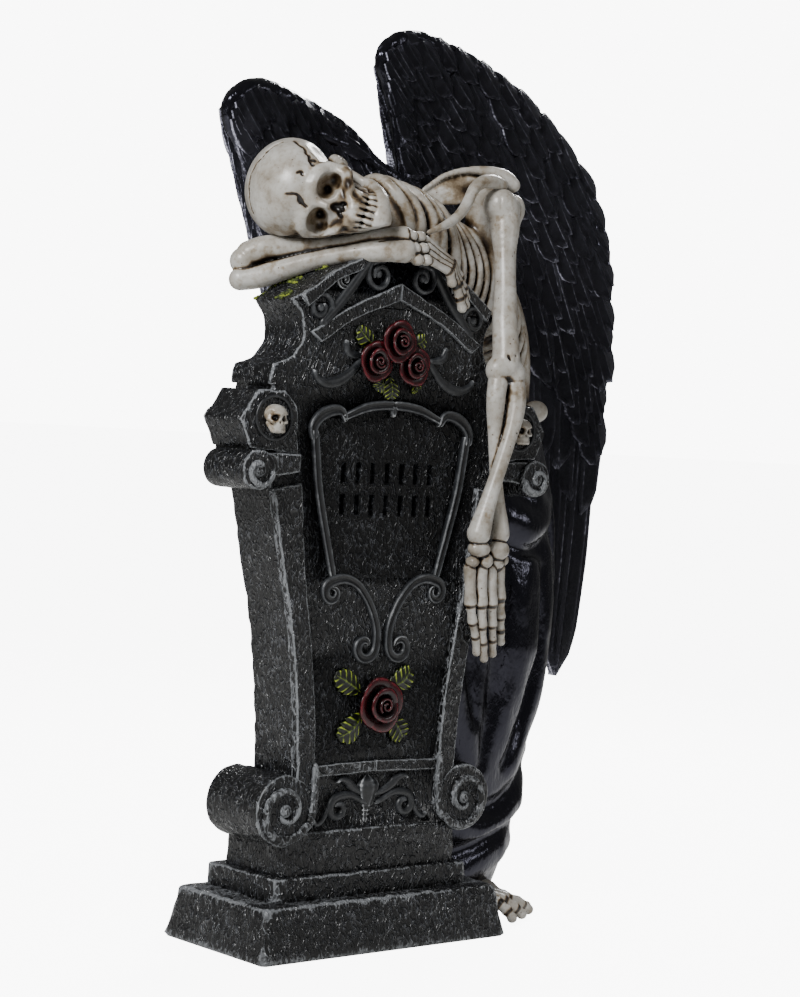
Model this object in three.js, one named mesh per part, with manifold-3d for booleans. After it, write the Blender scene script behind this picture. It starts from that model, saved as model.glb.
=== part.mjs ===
// Winged skeleton in a robe, leaning over a gravestone: one cast and painted tabletop figure.
// Millimetres. X runs to the viewer's right, the front faces -Y and Z is up.
// The origin is on the underside, under the middle of the gravestone's plinth.

import * as THREE from "three";
import { mergeVertices } from "three/addons/utils/BufferGeometryUtils.js";
import Module from "manifold-3d";

const wasm = await Module();
wasm.setup();

// Driving sizes of the gravestone
const PLINTH = { half: 52.5, front: -28, back: 26.5, topHalf: 49.5, topFront: -24, topBack: 22.5, top: 17.4 };
const STEP = { half: 41, front: -18, back: 19, top: 25 };
const BLOCK = { half: 37.5, front: -15.8, back: 14.2, top: 39 };
const PANEL_FRONT = -15.2;
const PILASTER_FRONT = -17.3;
const SLAB_BACK = 6;
const APEX = 233;
const LOW_ROLL = { x: 38.5, z: 47, radius: 11.5, front: -17.8, back: 10 };
const TOP_ROLL = { x: 59.8, z: 156, radius: 6.3, front: -23, back: -1 };
const SKULL_BLOCK = { x: 52.3, z: 172.5, front: -20, back: 0 };
const FIELD_DEPTH = 0.7;
const BUD_FIELD_DEPTH = 0.8;
const INSCRIPTION = { rows: [156, 145.5], perRow: 7, pitch: 6.2, width: 2.4, height: 7, depth: 0.7 };

// Roses by middle and radius, leaves from stalk to tip with half width
const ROSES = [[2, 80, 8.2], [2.5, 200, 7.4], [-6.4, 193.4, 7], [8.6, 192.4, 7]];
const LEAVES = [[-6, 84, -19, 90, 3.4], [-5, 77, -16, 69.5, 3.6], [8, 85, 15.5, 90.5, 3.4], [7, 76, 13.5, 68.5, 3.4],
  [-6, 197, -15.5, 202.5, 2.6], [6, 200, 13, 202, 2], [1, 190, 1, 182, 3]];

// Driving places and sizes of the figure
const HEAD = { at: [-32.5, 6.5, 247.5], lateral: 16.3, depth: 19.5, crown: 15.5, roll: 18, nod: 7 };
const VIEW_TURN = 40.8;
const WING_ROOT = [36, 26, 256];
const RIGHT_WING = {
  lead: [[34, 26, 256], [29, 29, 287], [24, 30, 301], [32, 30, 309], [60, 30, 309.5], [92, 30, 299], [121, 29, 279],
    [132.5, 28, 250]],
  trail: [[56, 40, 168], [74, 40, 132], [97, 38, 112], [118, 35, 96], [134.5, 33, 83]],
  bow: 6,
  side: 1,
};
const LEFT_WING = {
  lead: [[30, 27, 254.6], [12, 34, 273], [-10, 35, 280], [-27, 35, 282], [-35, 36, 275], [-29, 37, 262],
    [-19, 38, 246]],
  trail: [[54, 41, 170], [52, 41, 150], [47, 41, 130], [42, 40, 110], [34, 39, 92]],
  bow: -2,
  side: -1,
};

const vec = (p) => new THREE.Vector3(...p);
const mix = (a, b, t) => a + (b - a) * t;
// Slivers under this size are melted into their neighbours where forms meet
const MELD = 0.12;

// A value read from evenly spaced keys
function keyed(keys, t) {
  const place = Math.min(Math.max(t, 0), 1) * (keys.length - 1);
  const low = Math.min(Math.floor(place), keys.length - 2);
  return mix(keys[low], keys[low + 1], place - low);
}

// Closed geometry turned into a solid that joins and cuts
function solid(geometry) {
  geometry.deleteAttribute("normal");
  geometry.deleteAttribute("uv");
  const merged = mergeVertices(geometry, 1e-4);
  return new wasm.Manifold(new wasm.Mesh({
    numProp: 3,
    vertProperties: Float32Array.from(merged.attributes.position.array),
    triVerts: Uint32Array.from(merged.index.array),
  }));
}

const joined = (list) => list.reduce((sum, item) => sum.add(item));

// A closed tube whose ring at t is given by its centre and two half axes
function loft(sides, steps, ring) {
  const tube = new THREE.CylinderGeometry(1, 1, 1, sides, steps);
  const at = tube.attributes.position;
  for (let i = 0; i < at.count; i++) {
    const { centre, across, up } = ring(at.getY(i) + 0.5);
    const p = centre.clone().addScaledVector(across, at.getX(i)).addScaledVector(up, at.getZ(i));
    at.setXYZ(i, p.x, p.y, p.z);
  }
  return solid(tube);
}

// A round bar through points with a radius for each key
function bone(points, radii, sides = 6, steps = 8) {
  const curve = new THREE.CatmullRomCurve3(points.map(vec), false, "centripetal");
  const frames = curve.computeFrenetFrames(steps);
  return loft(sides, steps, (t) => {
    const i = Math.round(t * steps);
    const r = keyed(radii, t);
    return {
      centre: curve.getPointAt(t),
      across: frames.binormals[i].clone().multiplyScalar(r),
      up: frames.normals[i].clone().multiplyScalar(r),
    };
  });
}

// A flat blade through points, lying square to a facing direction
function blade(points, halfWidths, halfThicknesses, facing, sides = 4, steps = 5) {
  const curve = new THREE.CatmullRomCurve3(points.map(vec), false, "centripetal");
  return loft(sides, steps, (t) => {
    const along = curve.getTangentAt(t);
    const up = vec(facing).addScaledVector(along, -along.dot(vec(facing))).normalize();
    const across = new THREE.Vector3().crossVectors(along, up);
    return {
      centre: curve.getPointAt(t),
      across: across.multiplyScalar(keyed(halfWidths, t)),
      up: up.multiplyScalar(keyed(halfThicknesses, t)),
    };
  });
}

// An outline in the XZ plane, extruded from a front plane to a back plane
function plate(outline, front, back) {
  const shape = new THREE.Shape(outline.map(([x, z]) => new THREE.Vector2(x, z)));
  const geometry = new THREE.ExtrudeGeometry(shape, { depth: back - front, bevelEnabled: false });
  return solid(geometry.rotateX(Math.PI / 2).translate(0, back, 0));
}

function box(x0, x1, y0, y1, z0, z1) {
  const geometry = new THREE.BoxGeometry(x1 - x0, y1 - y0, z1 - z0);
  return solid(geometry.translate((x0 + x1) / 2, (y0 + y1) / 2, (z0 + z1) / 2));
}

function ball(at, radii, sides, rings, matrix = new THREE.Matrix4()) {
  const geometry = new THREE.SphereGeometry(1, sides, rings).scale(...radii).translate(...at);
  return solid(geometry.applyMatrix4(matrix));
}

const mirrored = (half) => [...half, ...half.map(([x, z]) => [-x, z]).reverse()];
const smooth = (points, count) => new THREE.SplineCurve(points.map((p) => new THREE.Vector2(...p)))
  .getPoints(count).map((p) => [p.x, p.y]);

// Points of a spiral on the panel, wound from the outside in
function spiral(x, z, outer, inner, from, turns, count) {
  return Array.from({ length: count }, (_, i) => {
    const t = i / (count - 1);
    const angle = from + turns * 2 * Math.PI * t;
    const r = mix(outer, inner, t);
    return [x + r * Math.cos(angle), z + r * Math.sin(angle)];
  });
}

// A raised stem on the panel, mirrored to the other side for side -1
function stem(points, radii, side, steps, y = PANEL_FRONT) {
  return bone(points.map(([x, z]) => [side * x, y + 0.3, z]), radii, 4, steps);
}

// Gravestone body: plinth, step, block, flared slab with a coved gable
const flare = smooth([[34, 60], [35.2, 78], [39, 105], [44.5, 128], [49.5, 150]], 5);
const cove = smooth([[50.6, 189.5], [44, 191.6], [39.2, 198], [40, 205], [44, 210.5]], 6);

function stoneBody() {
  const plinth = loft(4, 1, (t) => {
    const half = mix(PLINTH.half, PLINTH.topHalf, t);
    const front = mix(PLINTH.front, PLINTH.topFront, t);
    const back = mix(PLINTH.back, PLINTH.topBack, t);
    // A four-sided ring has its corners on its axes, so both half axes run to a corner
    const corner = new THREE.Vector3(half, (back - front) / 2, 0);
    const other = new THREE.Vector3(half, (front - back) / 2, 0);
    return { centre: new THREE.Vector3(0, (front + back) / 2, t * PLINTH.top), across: corner, up: other };
  });
  const outline = [[34, 31], ...flare, [49.5, 183], [51.6, 183], ...cove, [41, 212], [28, 221], [0, APEX]];
  return joined([
    plinth,
    box(-STEP.half, STEP.half, STEP.front, STEP.back, PLINTH.top - 2, STEP.top),
    box(-BLOCK.half, BLOCK.half, BLOCK.front, BLOCK.back, STEP.top - 2, BLOCK.top),
    plate(mirrored(outline), PANEL_FRONT, SLAB_BACK),
  ]);
}

// Raised strips down both sides, ending in the rolls at the foot
function pilaster(side) {
  const inner = smooth([[38, 152], [35, 125], [29, 90], [26.6, 62], [26.5, 44]], 5);
  const outer = [[34, 40], ...flare].map(([x, z]) => [side * x, z]);
  const strip = plate([...outer, ...inner.map(([x, z]) => [side * x, z])], PILASTER_FRONT, PANEL_FRONT + 1);
  return joined([strip, roll(LOW_ROLL, side, 14, 9)]);
}

// A scroll roll with its spiral raised on the front end
function roll({ x, z, radius, front, back }, side, sides, steps) {
  const drum = new THREE.CylinderGeometry(radius, radius, back - front, sides);
  const coil = spiral(x, z, radius * 0.8, radius * 0.25, Math.PI, 1.1, 9);
  return joined([
    solid(drum.translate(side * x, (front + back) / 2, z)),
    stem(coil, [0.15, 0.17, 0.2, 0.26].map((share) => share * radius), side, steps, front),
  ]);
}

// Six-cornered block with a ringed skull, over a bar that ends in a roll
function shoulder(side) {
  const { x, z, front, back } = SKULL_BLOCK;
  const corners = [[59.2, 181], [66, 171.8], [61.5, 162.8], [42.5, 161.2], [43.8, 176.5], [48.7, 181.2]];
  const bar = [[42, 155.5], [60, 153.5], [62, 161.5], [42, 161.5]];
  const place = (points) => points.map(([px, pz]) => [side * px, pz]);
  const ring = new THREE.TorusGeometry(6.8, 1, 3, 8).rotateX(Math.PI / 2).translate(side * x, front + 0.1, z);
  const sockets = [-1, 1].map((eye) => ball([side * x + eye * 1.7, front - 3.4, z + 0.4], [1.2, 1.6, 1.2], 5, 3));
  return joined([
    plate(place(corners), front, back),
    plate(place(bar), TOP_ROLL.front + 2, TOP_ROLL.back),
    roll(TOP_ROLL, side, 9, 6),
    solid(ring),
    joined([
      ball([side * x, front - 0.6, z + 1.4], [4.2, 3.2, 4], 6, 5),
      ball([side * x, front - 0.6, z - 3], [2.6, 2.6, 2.8], 5, 3),
    ]).subtract(joined(sockets)),
  ]);
}

// Arch moulding, rim and scrollwork of the gable
function gable(side) {
  const outer = smooth([[36, 201], [22, 209], [0, 218.5]], 3);
  const inner = smooth([[0, 213.5], [19, 206], [32, 198]], 3);
  const rim = [[41, 212], [28, 221], [0, APEX], [0, APEX - 4], [27, 217.5], [39, 208.5]];
  const place = (points) => points.map(([x, z]) => [side * x, z]);
  const curl = spiral(33, 208.5, 4.6, 1.6, -0.6 * Math.PI, -1.1, 6).reverse();
  const eye = spiral(9.5, 221, 4.4, 1.6, 0.6 * Math.PI, -1.1, 6);
  return joined([
    plate(place([...outer, ...inner]), PANEL_FRONT - 1.3, PANEL_FRONT + 1),
    plate(place(rim), PANEL_FRONT - 1.6, PANEL_FRONT + 1),
    stem([...curl, [26, 211], [20, 217], [14, 225], ...eye], [1.5, 1.2, 1.2, 1.2, 1.5], side, 13),
  ]);
}

// Frame round the sunk field, and the pair of C scrolls under it
function shieldSide(side) {
  const outerCurl = spiral(22, 116.8, 3, 1.4, 0.35 * Math.PI, -0.8, 4).reverse();
  const lowerCurl = spiral(7.3, 99, 4.4, 1.4, 1.05 * Math.PI, 1.1, 6);
  return joined([
    stem([[33, 170], [30, 150], [22, 121]], [1.5, 1.4, 1.3], side, 3),
    stem([[33, 169.6], [30.5, 173.5], [25, 175.6], [20, 173.4]], [1.6, 1.7, 1.5], side, 3),
    stem([[20.6, 173.2], [12, 176.8], [0, 178.2]], [1.3, 1.4, 1.4], side, 3),
    stem([...outerCurl, [18, 121.2], [9, 117], [2.6, 106], ...lowerCurl], [1.4, 1.4, 1.7, 1.8, 1.5, 1.6], side, 14),
  ]);
}

// Two scrolls on each side of the bud in the band at the foot
function budScrolls(side) {
  const floor = PANEL_FRONT + BUD_FIELD_DEPTH;
  const curl = spiral(14.5, 45.2, 3.4, 1.4, 0.5 * Math.PI, -0.9, 5);
  return joined([
    stem([[1, 47.5], [8, 50], ...curl], [1.2, 1.2, 1.3, 1.5], side, 7, floor),
    stem([[12, 49], [18, 46.5], [22.5, 41]], [1.1, 1.2, 1.3], side, 4, floor),
    stem([[2, 50], [9, 51], [14.5, 53.6]], [1.1, 1.2, 1.5], side, 3, floor),
  ]);
}

// Rose of two wavy cups, the inner one higher and turned from the outer
function rose(x, z, radius) {
  const cups = [[1, 0.78, 2.4, 0], [0.62, 0.4, 4, 0.6]];
  return joined(cups.map(([foot, mouth, proud, turn]) => {
    const cup = new THREE.CylinderGeometry(radius * mouth, radius * foot, proud + 1, 8).rotateY(turn);
    return solid(cup.rotateX(Math.PI).translate(x, PANEL_FRONT + (1 - proud) / 2, z));
  }));
}

function leaf(x0, z0, x1, z1, width) {
  const y = PANEL_FRONT - 0.4;
  return blade([[x0, y, z0], [x1, y, z1]], [width * 0.6, width, 0.4], [1.2, 1.4, 0.8], [0, -1, 0], 4, 2);
}

// Rows of shallow upright strokes where the inscription stands
function strokes() {
  const { rows, perRow, pitch, width, height, depth } = INSCRIPTION;
  const floor = PANEL_FRONT + FIELD_DEPTH + depth;
  return joined(rows.flatMap((z) => Array.from({ length: perRow }, (_, i) => {
    const x = (i - (perRow - 1) / 2) * pitch;
    return box(x - width / 2, x + width / 2, PANEL_FRONT - 2, floor, z - height / 2, z + height / 2);
  })));
}

function gravestone() {
  const field = mirrored([[20.5, 122], [29.2, 150], [31.5, 170], [20.5, 172.2]]);
  const crossBand = mirrored([[26.6, 57], [26.6, 60.5]]);
  const budField = mirrored([[26.4, 39.2], [26.4, 57]]);
  const both = (make) => [make(-1), make(1)];
  const sunk = joined([
    plate(field, PANEL_FRONT - 1, PANEL_FRONT + FIELD_DEPTH),
    plate(budField, PANEL_FRONT - 1, PANEL_FRONT + BUD_FIELD_DEPTH),
    strokes(),
  ]);
  return joined([
    stoneBody().subtract(sunk),
    plate(crossBand, PANEL_FRONT - 0.9, PANEL_FRONT + 1),
    ...both(pilaster), ...both(shoulder), ...both(gable), ...both(shieldSide), ...both(budScrolls),
    ...both((side) => stem([[12, 195], [20, 189], [27, 184.6], [34, 186.2]], [1.1, 1.3, 1.4, 1.5], side, 5)),
    ...both((side) => stem([[14, 193.6], [18.5, 194.5], [21.5, 198.5]], [1.2, 1.3, 1.1], side, 3)),
    ball([-1.5, PANEL_FRONT, 50.5], [3.6, 2.6, 6.3], 7, 5),
    ball([-1.5, PANEL_FRONT, 42.5], [1.9, 2, 2.6], 6, 4),
    ...LEAVES.map((spec) => leaf(...spec)),
    ...ROSES.map((spec) => rose(...spec)),
  ]);
}

// The head lies on its right side. Head frame: x to its right, y out of the face, z to the crown.
function headFrame() {
  const turn = THREE.MathUtils.degToRad(VIEW_TURN);
  const roll = THREE.MathUtils.degToRad(HEAD.roll);
  const nod = THREE.MathUtils.degToRad(HEAD.nod);
  const crown = new THREE.Vector3(-Math.cos(turn) * Math.cos(nod), Math.sin(turn) * Math.cos(nod), Math.sin(nod));
  const out = new THREE.Vector3(-Math.sin(turn), -Math.cos(turn), 0);
  const down = new THREE.Vector3().crossVectors(out, crown).normalize();
  const face = out.clone().multiplyScalar(Math.cos(roll)).addScaledVector(down, Math.sin(roll));
  const right = new THREE.Vector3().crossVectors(face, crown).normalize();
  return new THREE.Matrix4().makeBasis(right, face, crown).setPosition(...HEAD.at);
}

function skull() {
  const frame = headFrame();
  const local = (points) => points.map((p) => vec(p).applyMatrix4(frame).toArray());
  const inHead = (at, radii, sides, rings) => ball(at, radii, sides, rings, frame);
  const right = vec([1, 0, 0]).transformDirection(frame);
  const out = vec([0, 1, 0]).transformDirection(frame);
  const face = loft(8, 5, (t) => {
    const front = keyed([17, 17.6, 18.8, 19.6, 18.8, 16], t);
    const back = keyed([0, 0, 1, 3, 5, 9], t);
    return {
      centre: vec([0, (front + back) / 2, mix(-8, -32.5, t)]).applyMatrix4(frame),
      across: right.clone().multiplyScalar(keyed([12.6, 12.2, 10.6, 9.2, 8.4, 5], t)),
      up: out.clone().multiplyScalar((front - back) / 2),
    };
  });
  const teeth = [-21.6, -24.8].map((z) => bone(local([[-7.5, 13.5, z], [-4.5, 18, z], [0, 20, z], [4.5, 18, z],
    [7.5, 13.5, z]]), [1.4, 1.8, 1.4, 1.8, 1.4, 1.8, 1.4], 4, 6));
  const cheeks = [-1, 1].map((side) => bone(local([[side * 14, 3, -13], [side * 13, 10.5, -15.5],
    [side * 10.6, 15.4, -18], [side * 6, 17.6, -18.5]]), [1.6, 2.4, 2.7, 1.4], 5, 4));
  const brow = bone(local([[-13.4, 9.5, -11], [-11.5, 15, -8], [-5, 18.2, -7.2], [0, 17.6, -7.8], [5, 18.2, -7.2],
    [11.5, 15, -8], [13.4, 9.5, -11]]), [1.6, 2.2, 2, 1.8, 2, 2.2, 1.6], 4, 6);
  const hollows = [
    inHead([-6.4, 19.2, -12.6], [4.7, 6, 4.1], 7, 5),
    inHead([6.4, 19.2, -12.6], [4.7, 6, 4.1], 7, 5),
    inHead([0, 20.5, -17.6], [2.3, 3.6, 2.9], 5, 4),
  ];
  const cranium = inHead([0, 0, 0], [HEAD.lateral, HEAD.depth, HEAD.crown], 11, 8);
  return joined([cranium, face, brow, ...cheeks]).subtract(joined(hollows)).add(joined(teeth));
}

// Ribcage and spine bending over the stone, with a ring for each rib
function torso() {
  const path = new THREE.CatmullRomCurve3([[79, 13, 168], [72, 14, 196], [56, 13, 222], [34, 11, 238], [10, 6, 244],
    [-14, 4, 246]].map(vec));
  const girth = [7, 8.5, 14, 16, 15.5, 11, 6, 5];
  const ribs = 18;
  return loft(11, ribs, (t) => {
    const along = path.getTangentAt(t);
    const up = new THREE.Vector3(0, -1, 0).addScaledVector(along, along.y).normalize();
    const ridge = Math.round(t * ribs) % 2 ? 1 : 0.88;
    const r = keyed(girth, t) * ridge;
    const across = new THREE.Vector3().crossVectors(along, up).multiplyScalar(r);
    return { centre: path.getPointAt(t), across, up: up.multiplyScalar(r * 1.1) };
  });
}

// Radii along a finger, thick at its joints
const FINGER = [2.1, 1.5, 1.9, 1.4, 1.8, 1.5, 1];

function leftArm() {
  const fingers = [
    [[31, -22.5, 126], [32.8, -22, 113.5], [37.5, -20, 103], [40.6, -18, 96]],
    [[34.8, -23.5, 126], [36.9, -23, 113.3], [40.6, -21, 103], [43.4, -19, 94.6]],
    [[39, -23.5, 126], [41.6, -23, 113.6], [44.8, -21.5, 104], [47.2, -19, 96.6]],
    [[43.4, -22.5, 126], [45.6, -22.5, 114.5], [48.6, -21, 106], [50.8, -19, 100.6]],
  ];
  return joined([
    ball([50, -8.5, 252], [6.2, 6, 6.2], 7, 5),
    bone([[50.2, -9, 253], [48.6, -13.5, 231], [45.8, -19.5, 208], [43, -23, 196], [40.5, -24, 189.5]],
      [5.6, 4.6, 3.8, 3.9, 5.6, 5.2], 7, 7),
    bone([[44.8, -24.5, 190], [44.6, -25.5, 184], [41, -26.5, 169], [35.6, -25.5, 149], [31.8, -24.5, 135]],
      [3.4, 3.3, 2.6, 2.7, 3.2, 4.6], 5, 6),
    bone([[38.2, -23, 191], [38, -23.5, 184], [39.4, -22.5, 168], [41.4, -23, 149], [42.6, -23.5, 135]],
      [3.6, 3.2, 2.2, 2.2, 2.6, 4], 5, 6),
    blade([[37, -23.5, 136], [37, -23.5, 130], [37.2, -23, 124]], [6, 7.8, 8.4], [3, 3.6, 2.8], [0, -1, 0], 6, 2),
    ...fingers.map((points) => bone(points, FINGER, 4, 6)),
  ]);
}

function rightArm() {
  const fingers = [
    [[7, -21, 233.6], [16.5, -20.5, 230.6], [19.2, -20.5, 222], [22.4, -20.5, 215]],
    [[7, -22.5, 231], [15.5, -22.5, 227], [18.2, -22, 220], [20.8, -21.5, 213.6]],
    [[6, -23.5, 228.6], [13.6, -24, 224], [17, -22.5, 217.5], [19, -21, 212.6]],
  ];
  return joined([
    bone([[6, 17, 240], [-20, 17, 233], [-42, 12.5, 222.5]], [5, 3.6, 4.4], 5, 4),
    ball([-44.6, 10.6, 221], [4.6, 4.6, 4.4], 6, 4),
    bone([[-43.5, 10, 224.5], [-36, 5, 227.4], [-25, -4, 228.6], [-8, -18.5, 233], [-3, -21, 233]],
      [4.2, 3.4, 2.6, 2.6, 3.6], 5, 6),
    bone([[-46.4, 10, 218.6], [-37, 3, 221.4], [-29, -3.5, 224.8], [-9, -20, 229.4], [-3.5, -22.5, 229.6]],
      [3.8, 3.4, 2.8, 2.8, 4], 5, 6),
    blade([[-3, -21.5, 231.6], [3, -21.8, 231.8], [9, -22, 230.4]], [4, 5, 4.6], [3, 3.4, 2.8], [0, -1, 0], 6, 2),
    ...fingers.map((points) => bone(points, FINGER, 4, 6)),
  ]);
}

// Collarbone, shoulder blade and hip
function girdle() {
  return joined([
    bone([[50, -9.5, 258], [44, -10.5, 258.5], [33, -12.5, 252.5], [25, -14, 245], [15, -14, 238]],
      [3, 2.6, 2, 2, 2.6], 5, 6),
    bone([[55.5, -8, 257.4], [51, -5, 261.4], [42, 1, 262.6], [32, 5, 258.6], [24, 6, 252.6]],
      [2.8, 2.9, 2.4, 2, 1.6], 5, 5),
    blade([[50, -2, 257], [38, 5, 252], [22, 9, 247]], [6, 8.5, 3], [1.4, 1.6, 1.2], [-0.35, -0.8, 0.5], 4, 3),
    ball([83.5, 4, 179.5], [4.6, 4, 4], 7, 5),
  ]);
}

function foot() {
  const toes = [0, 1, 2, 3].map((i) => {
    const spread = i / 3;
    const tip = [mix(89, 75, spread), mix(-2, -15, spread), 2];
    const heel = [mix(72, 64, spread), mix(8, 2, spread), 7.5];
    const arch = [mix(heel[0], tip[0], 0.6), mix(heel[1], tip[1], 0.6), 6 - 1.2 * spread];
    return bone([heel, arch, tip], [3, 2.6, 2.5, 1.6], 4, 4);
  });
  return joined([...toes, bone([[67, 8, 24], [66, 7, 10]], [4.4, 4.8], 6, 1)]);
}

// Robe from the hip to the floor, its folds running slantwise round the legs
function robe() {
  const keys = {
    x: [58, 60, 60, 61, 63, 66, 69, 73, 78, 80],
    y: [18, 17, 16, 16, 16, 15.5, 15, 14.5, 13.5, 13],
    rx: [20, 27, 31, 32.5, 33.5, 33, 31, 25, 14, 9],
    ry: [14, 17, 19, 19.5, 20, 20, 19, 17, 13, 9],
  };
  const height = 180;
  const sides = 20;
  const steps = 12;
  const tube = new THREE.CylinderGeometry(1, 1, 1, sides, steps);
  const at = tube.attributes.position;
  for (let i = 0; i < at.count; i++) {
    const t = at.getY(i) + 0.5;
    const radius = Math.hypot(at.getX(i), at.getZ(i));
    const angle = Math.atan2(at.getZ(i), at.getX(i));
    const fold = 1 + 0.07 * Math.sin(5 * angle + 7 * t) + 0.04 * Math.sin(9 * angle - 11 * t);
    const x = keyed(keys.x, t) + keyed(keys.rx, t) * radius * fold * Math.cos(angle);
    const y = keyed(keys.y, t) - keyed(keys.ry, t) * radius * fold * Math.sin(angle);
    at.setXYZ(i, x, y, t * height);
  }
  return solid(tube);
}

// Rows of a wing from the leading edge to the feather tips, and what is added to half its thickness there:
// two rows of small feathers step down to the long ones
const WING_ROWS = [0, 0.07, 0.24, 0.26, 0.38, 0.5, 0.53, 0.76, 1];
const WING_THICK = [2.4, 3.8, 2.7, 1.9, 1.8, 1.8, 1.2, 1, 0.8];
const WING_FEATHERS = 9;

// One wing: a sheet from the leading edge to the tips, ridged along each feather's shaft
function wing({ lead, trail, bow, side }) {
  const leading = new THREE.CatmullRomCurve3(lead.map(vec), false, "centripetal");
  const trailing = new THREE.CatmullRomCurve3(trail.map(vec));
  const columns = 2 * WING_FEATHERS;
  const rows = WING_ROWS.length - 1;
  const sheet = new THREE.BoxGeometry(1, 1, 1, columns, rows, 1);
  const at = sheet.attributes.position;
  for (let i = 0; i < at.count; i++) {
    const column = Math.round((at.getX(i) + 0.5) * columns);
    const row = Math.round((0.5 - at.getY(i)) * rows);
    const across = column / columns;
    const shaft = column % 2;
    const reach = row === 0 ? 0 : WING_ROWS[row] + (row < rows ? 0.012 : 0.035) * (shaft ? 1 : -1);
    const p = leading.getPoint(across).lerp(trailing.getPoint(across), reach);
    p.x += bow * across * Math.sin(Math.PI * reach);
    const half = WING_THICK[row] + (shaft ? 0.6 : -0.3);
    at.setXYZ(i, p.x, p.y - side * 2 * half * at.getZ(i), p.z);
  }
  return solid(sheet);
}

function figure() {
  const arm = (points) => bone(points, [5.6, 5.8, 5.2], 6, 3);
  return joined([
    skull(), torso(), leftArm(), rightArm(), girdle(), foot(), robe(),
    wing(RIGHT_WING), wing(LEFT_WING),
    arm([WING_ROOT, [34, 29, 283], [33, 30, 302]]), arm([WING_ROOT, [10, 33, 268], [-26, 35, 275]]),
  ]);
}

// Keeps the outer skin alone, so no pocket is left sealed inside where forms meet
function outerSkin(body) {
  const largest = (list) => list.reduce((best, item) => (item.volume() > best.volume() ? item : best));
  return largest(body.decompose());
}

const floor = box(-200, 200, -200, 200, -40, 0);
const whole = outerSkin(gravestone().add(figure()).subtract(floor).setTolerance(MELD));

function meshOf(body, name, color) {
  const { vertProperties, triVerts } = body.getMesh();
  const geometry = new THREE.BufferGeometry();
  geometry.setAttribute("position", new THREE.BufferAttribute(vertProperties, 3));
  geometry.setIndex(new THREE.BufferAttribute(triVerts, 1));
  const mesh = new THREE.Mesh(geometry, new THREE.MeshStandardMaterial({ color, roughness: 0.6, metalness: 0 }));
  mesh.name = name;
  return mesh;
}

const group = new THREE.Group();
group.add(meshOf(whole, "statue", "#2b2c30"));
export default group;
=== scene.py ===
import math

import bmesh
import bpy
import numpy as np
from mathutils import Matrix, Vector, noise


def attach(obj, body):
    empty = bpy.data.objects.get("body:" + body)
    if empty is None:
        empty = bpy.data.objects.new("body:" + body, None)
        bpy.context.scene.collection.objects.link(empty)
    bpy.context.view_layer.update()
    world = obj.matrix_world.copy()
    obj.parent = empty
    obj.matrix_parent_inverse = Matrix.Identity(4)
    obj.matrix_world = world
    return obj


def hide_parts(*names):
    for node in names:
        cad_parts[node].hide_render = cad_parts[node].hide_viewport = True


# A cast and painted skeleton angel asleep over a gravestone.
# Every length below is in millimetres and is turned to metres when a mesh is made.
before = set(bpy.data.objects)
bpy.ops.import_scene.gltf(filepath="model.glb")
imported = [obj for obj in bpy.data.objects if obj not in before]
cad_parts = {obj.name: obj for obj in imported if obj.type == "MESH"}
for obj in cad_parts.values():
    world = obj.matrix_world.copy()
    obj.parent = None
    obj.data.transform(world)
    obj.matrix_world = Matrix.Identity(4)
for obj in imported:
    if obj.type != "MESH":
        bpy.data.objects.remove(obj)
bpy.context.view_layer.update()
mm = 0.001


# Colour and node helpers

def srgb(code):  # "#rrggbb" to linear RGBA
    parts = [int(code[i:i + 2], 16) / 255 for i in (1, 3, 5)]
    return tuple(c / 12.92 if c <= 0.04045 else ((c + 0.055) / 1.055) ** 2.4 for c in parts) + (1.0,)


def addNode(tree, kind, settings=None, **links):
    node = tree.nodes.new(kind)
    for name, value in (settings or {}).items():
        if name.startswith("in:"):
            node.inputs[name[3:]].default_value = value
        elif name.startswith("at:"):
            node.inputs[int(name[3:])].default_value = value
        else:
            setattr(node, name, value)
    for name, source in links.items():
        key = name.replace("_", " ")
        target = node.inputs[int(key[1:])] if key[0] == "s" and key[1:].isdigit() else node.inputs[key]
        tree.links.new(source, target)
    return node


def newMaterial(name):
    made = bpy.data.materials.new(name)
    made.use_nodes = True
    made.node_tree.nodes.clear()
    return made, made.node_tree


def closeMaterial(tree, settings, **links):  # the surface itself, which ends the material
    shader = addNode(tree, "ShaderNodeBsdfPrincipled", settings, **links)
    out = tree.nodes.new("ShaderNodeOutputMaterial")
    tree.links.new(shader.outputs[0], out.inputs["Surface"])


# A colour that steps through stops [(place, "#rrggbb"), ...]
def colourSteps(tree, source, stops):
    ramp = addNode(tree, "ShaderNodeValToRGB", s0=source)
    while len(ramp.color_ramp.elements) < len(stops):
        ramp.color_ramp.elements.new(0.5)
    for element, (place, code) in zip(ramp.color_ramp.elements, stops):
        element.position = place
        element.color = srgb(code)
    return ramp.outputs["Color"]


def mixColour(tree, share, first, second, blend="MIX"):
    mixer = addNode(tree, "ShaderNodeMix", {"data_type": "RGBA", "blend_type": blend})
    for socket, value in ((mixer.inputs[0], share), (mixer.inputs[6], first), (mixer.inputs[7], second)):
        if isinstance(value, str):
            socket.default_value = srgb(value)
        elif isinstance(value, float):
            socket.default_value = value
        else:
            tree.links.new(value, socket)
    return mixer.outputs[2]


def maths(tree, operation, first, second=0.0, clamp=False):
    node = addNode(tree, "ShaderNodeMath", {"operation": operation, "use_clamp": clamp})
    for socket, value in zip(node.inputs, (first, second)):
        if isinstance(value, (int, float)):
            socket.default_value = value
        else:
            tree.links.new(value, socket)
    return node.outputs[0]


# How far a value lies above its middle, times an amount
def swing(tree, value, middle, amount, clamp=False):
    return maths(tree, "MULTIPLY", maths(tree, "SUBTRACT", value, middle), amount, clamp)


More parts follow.
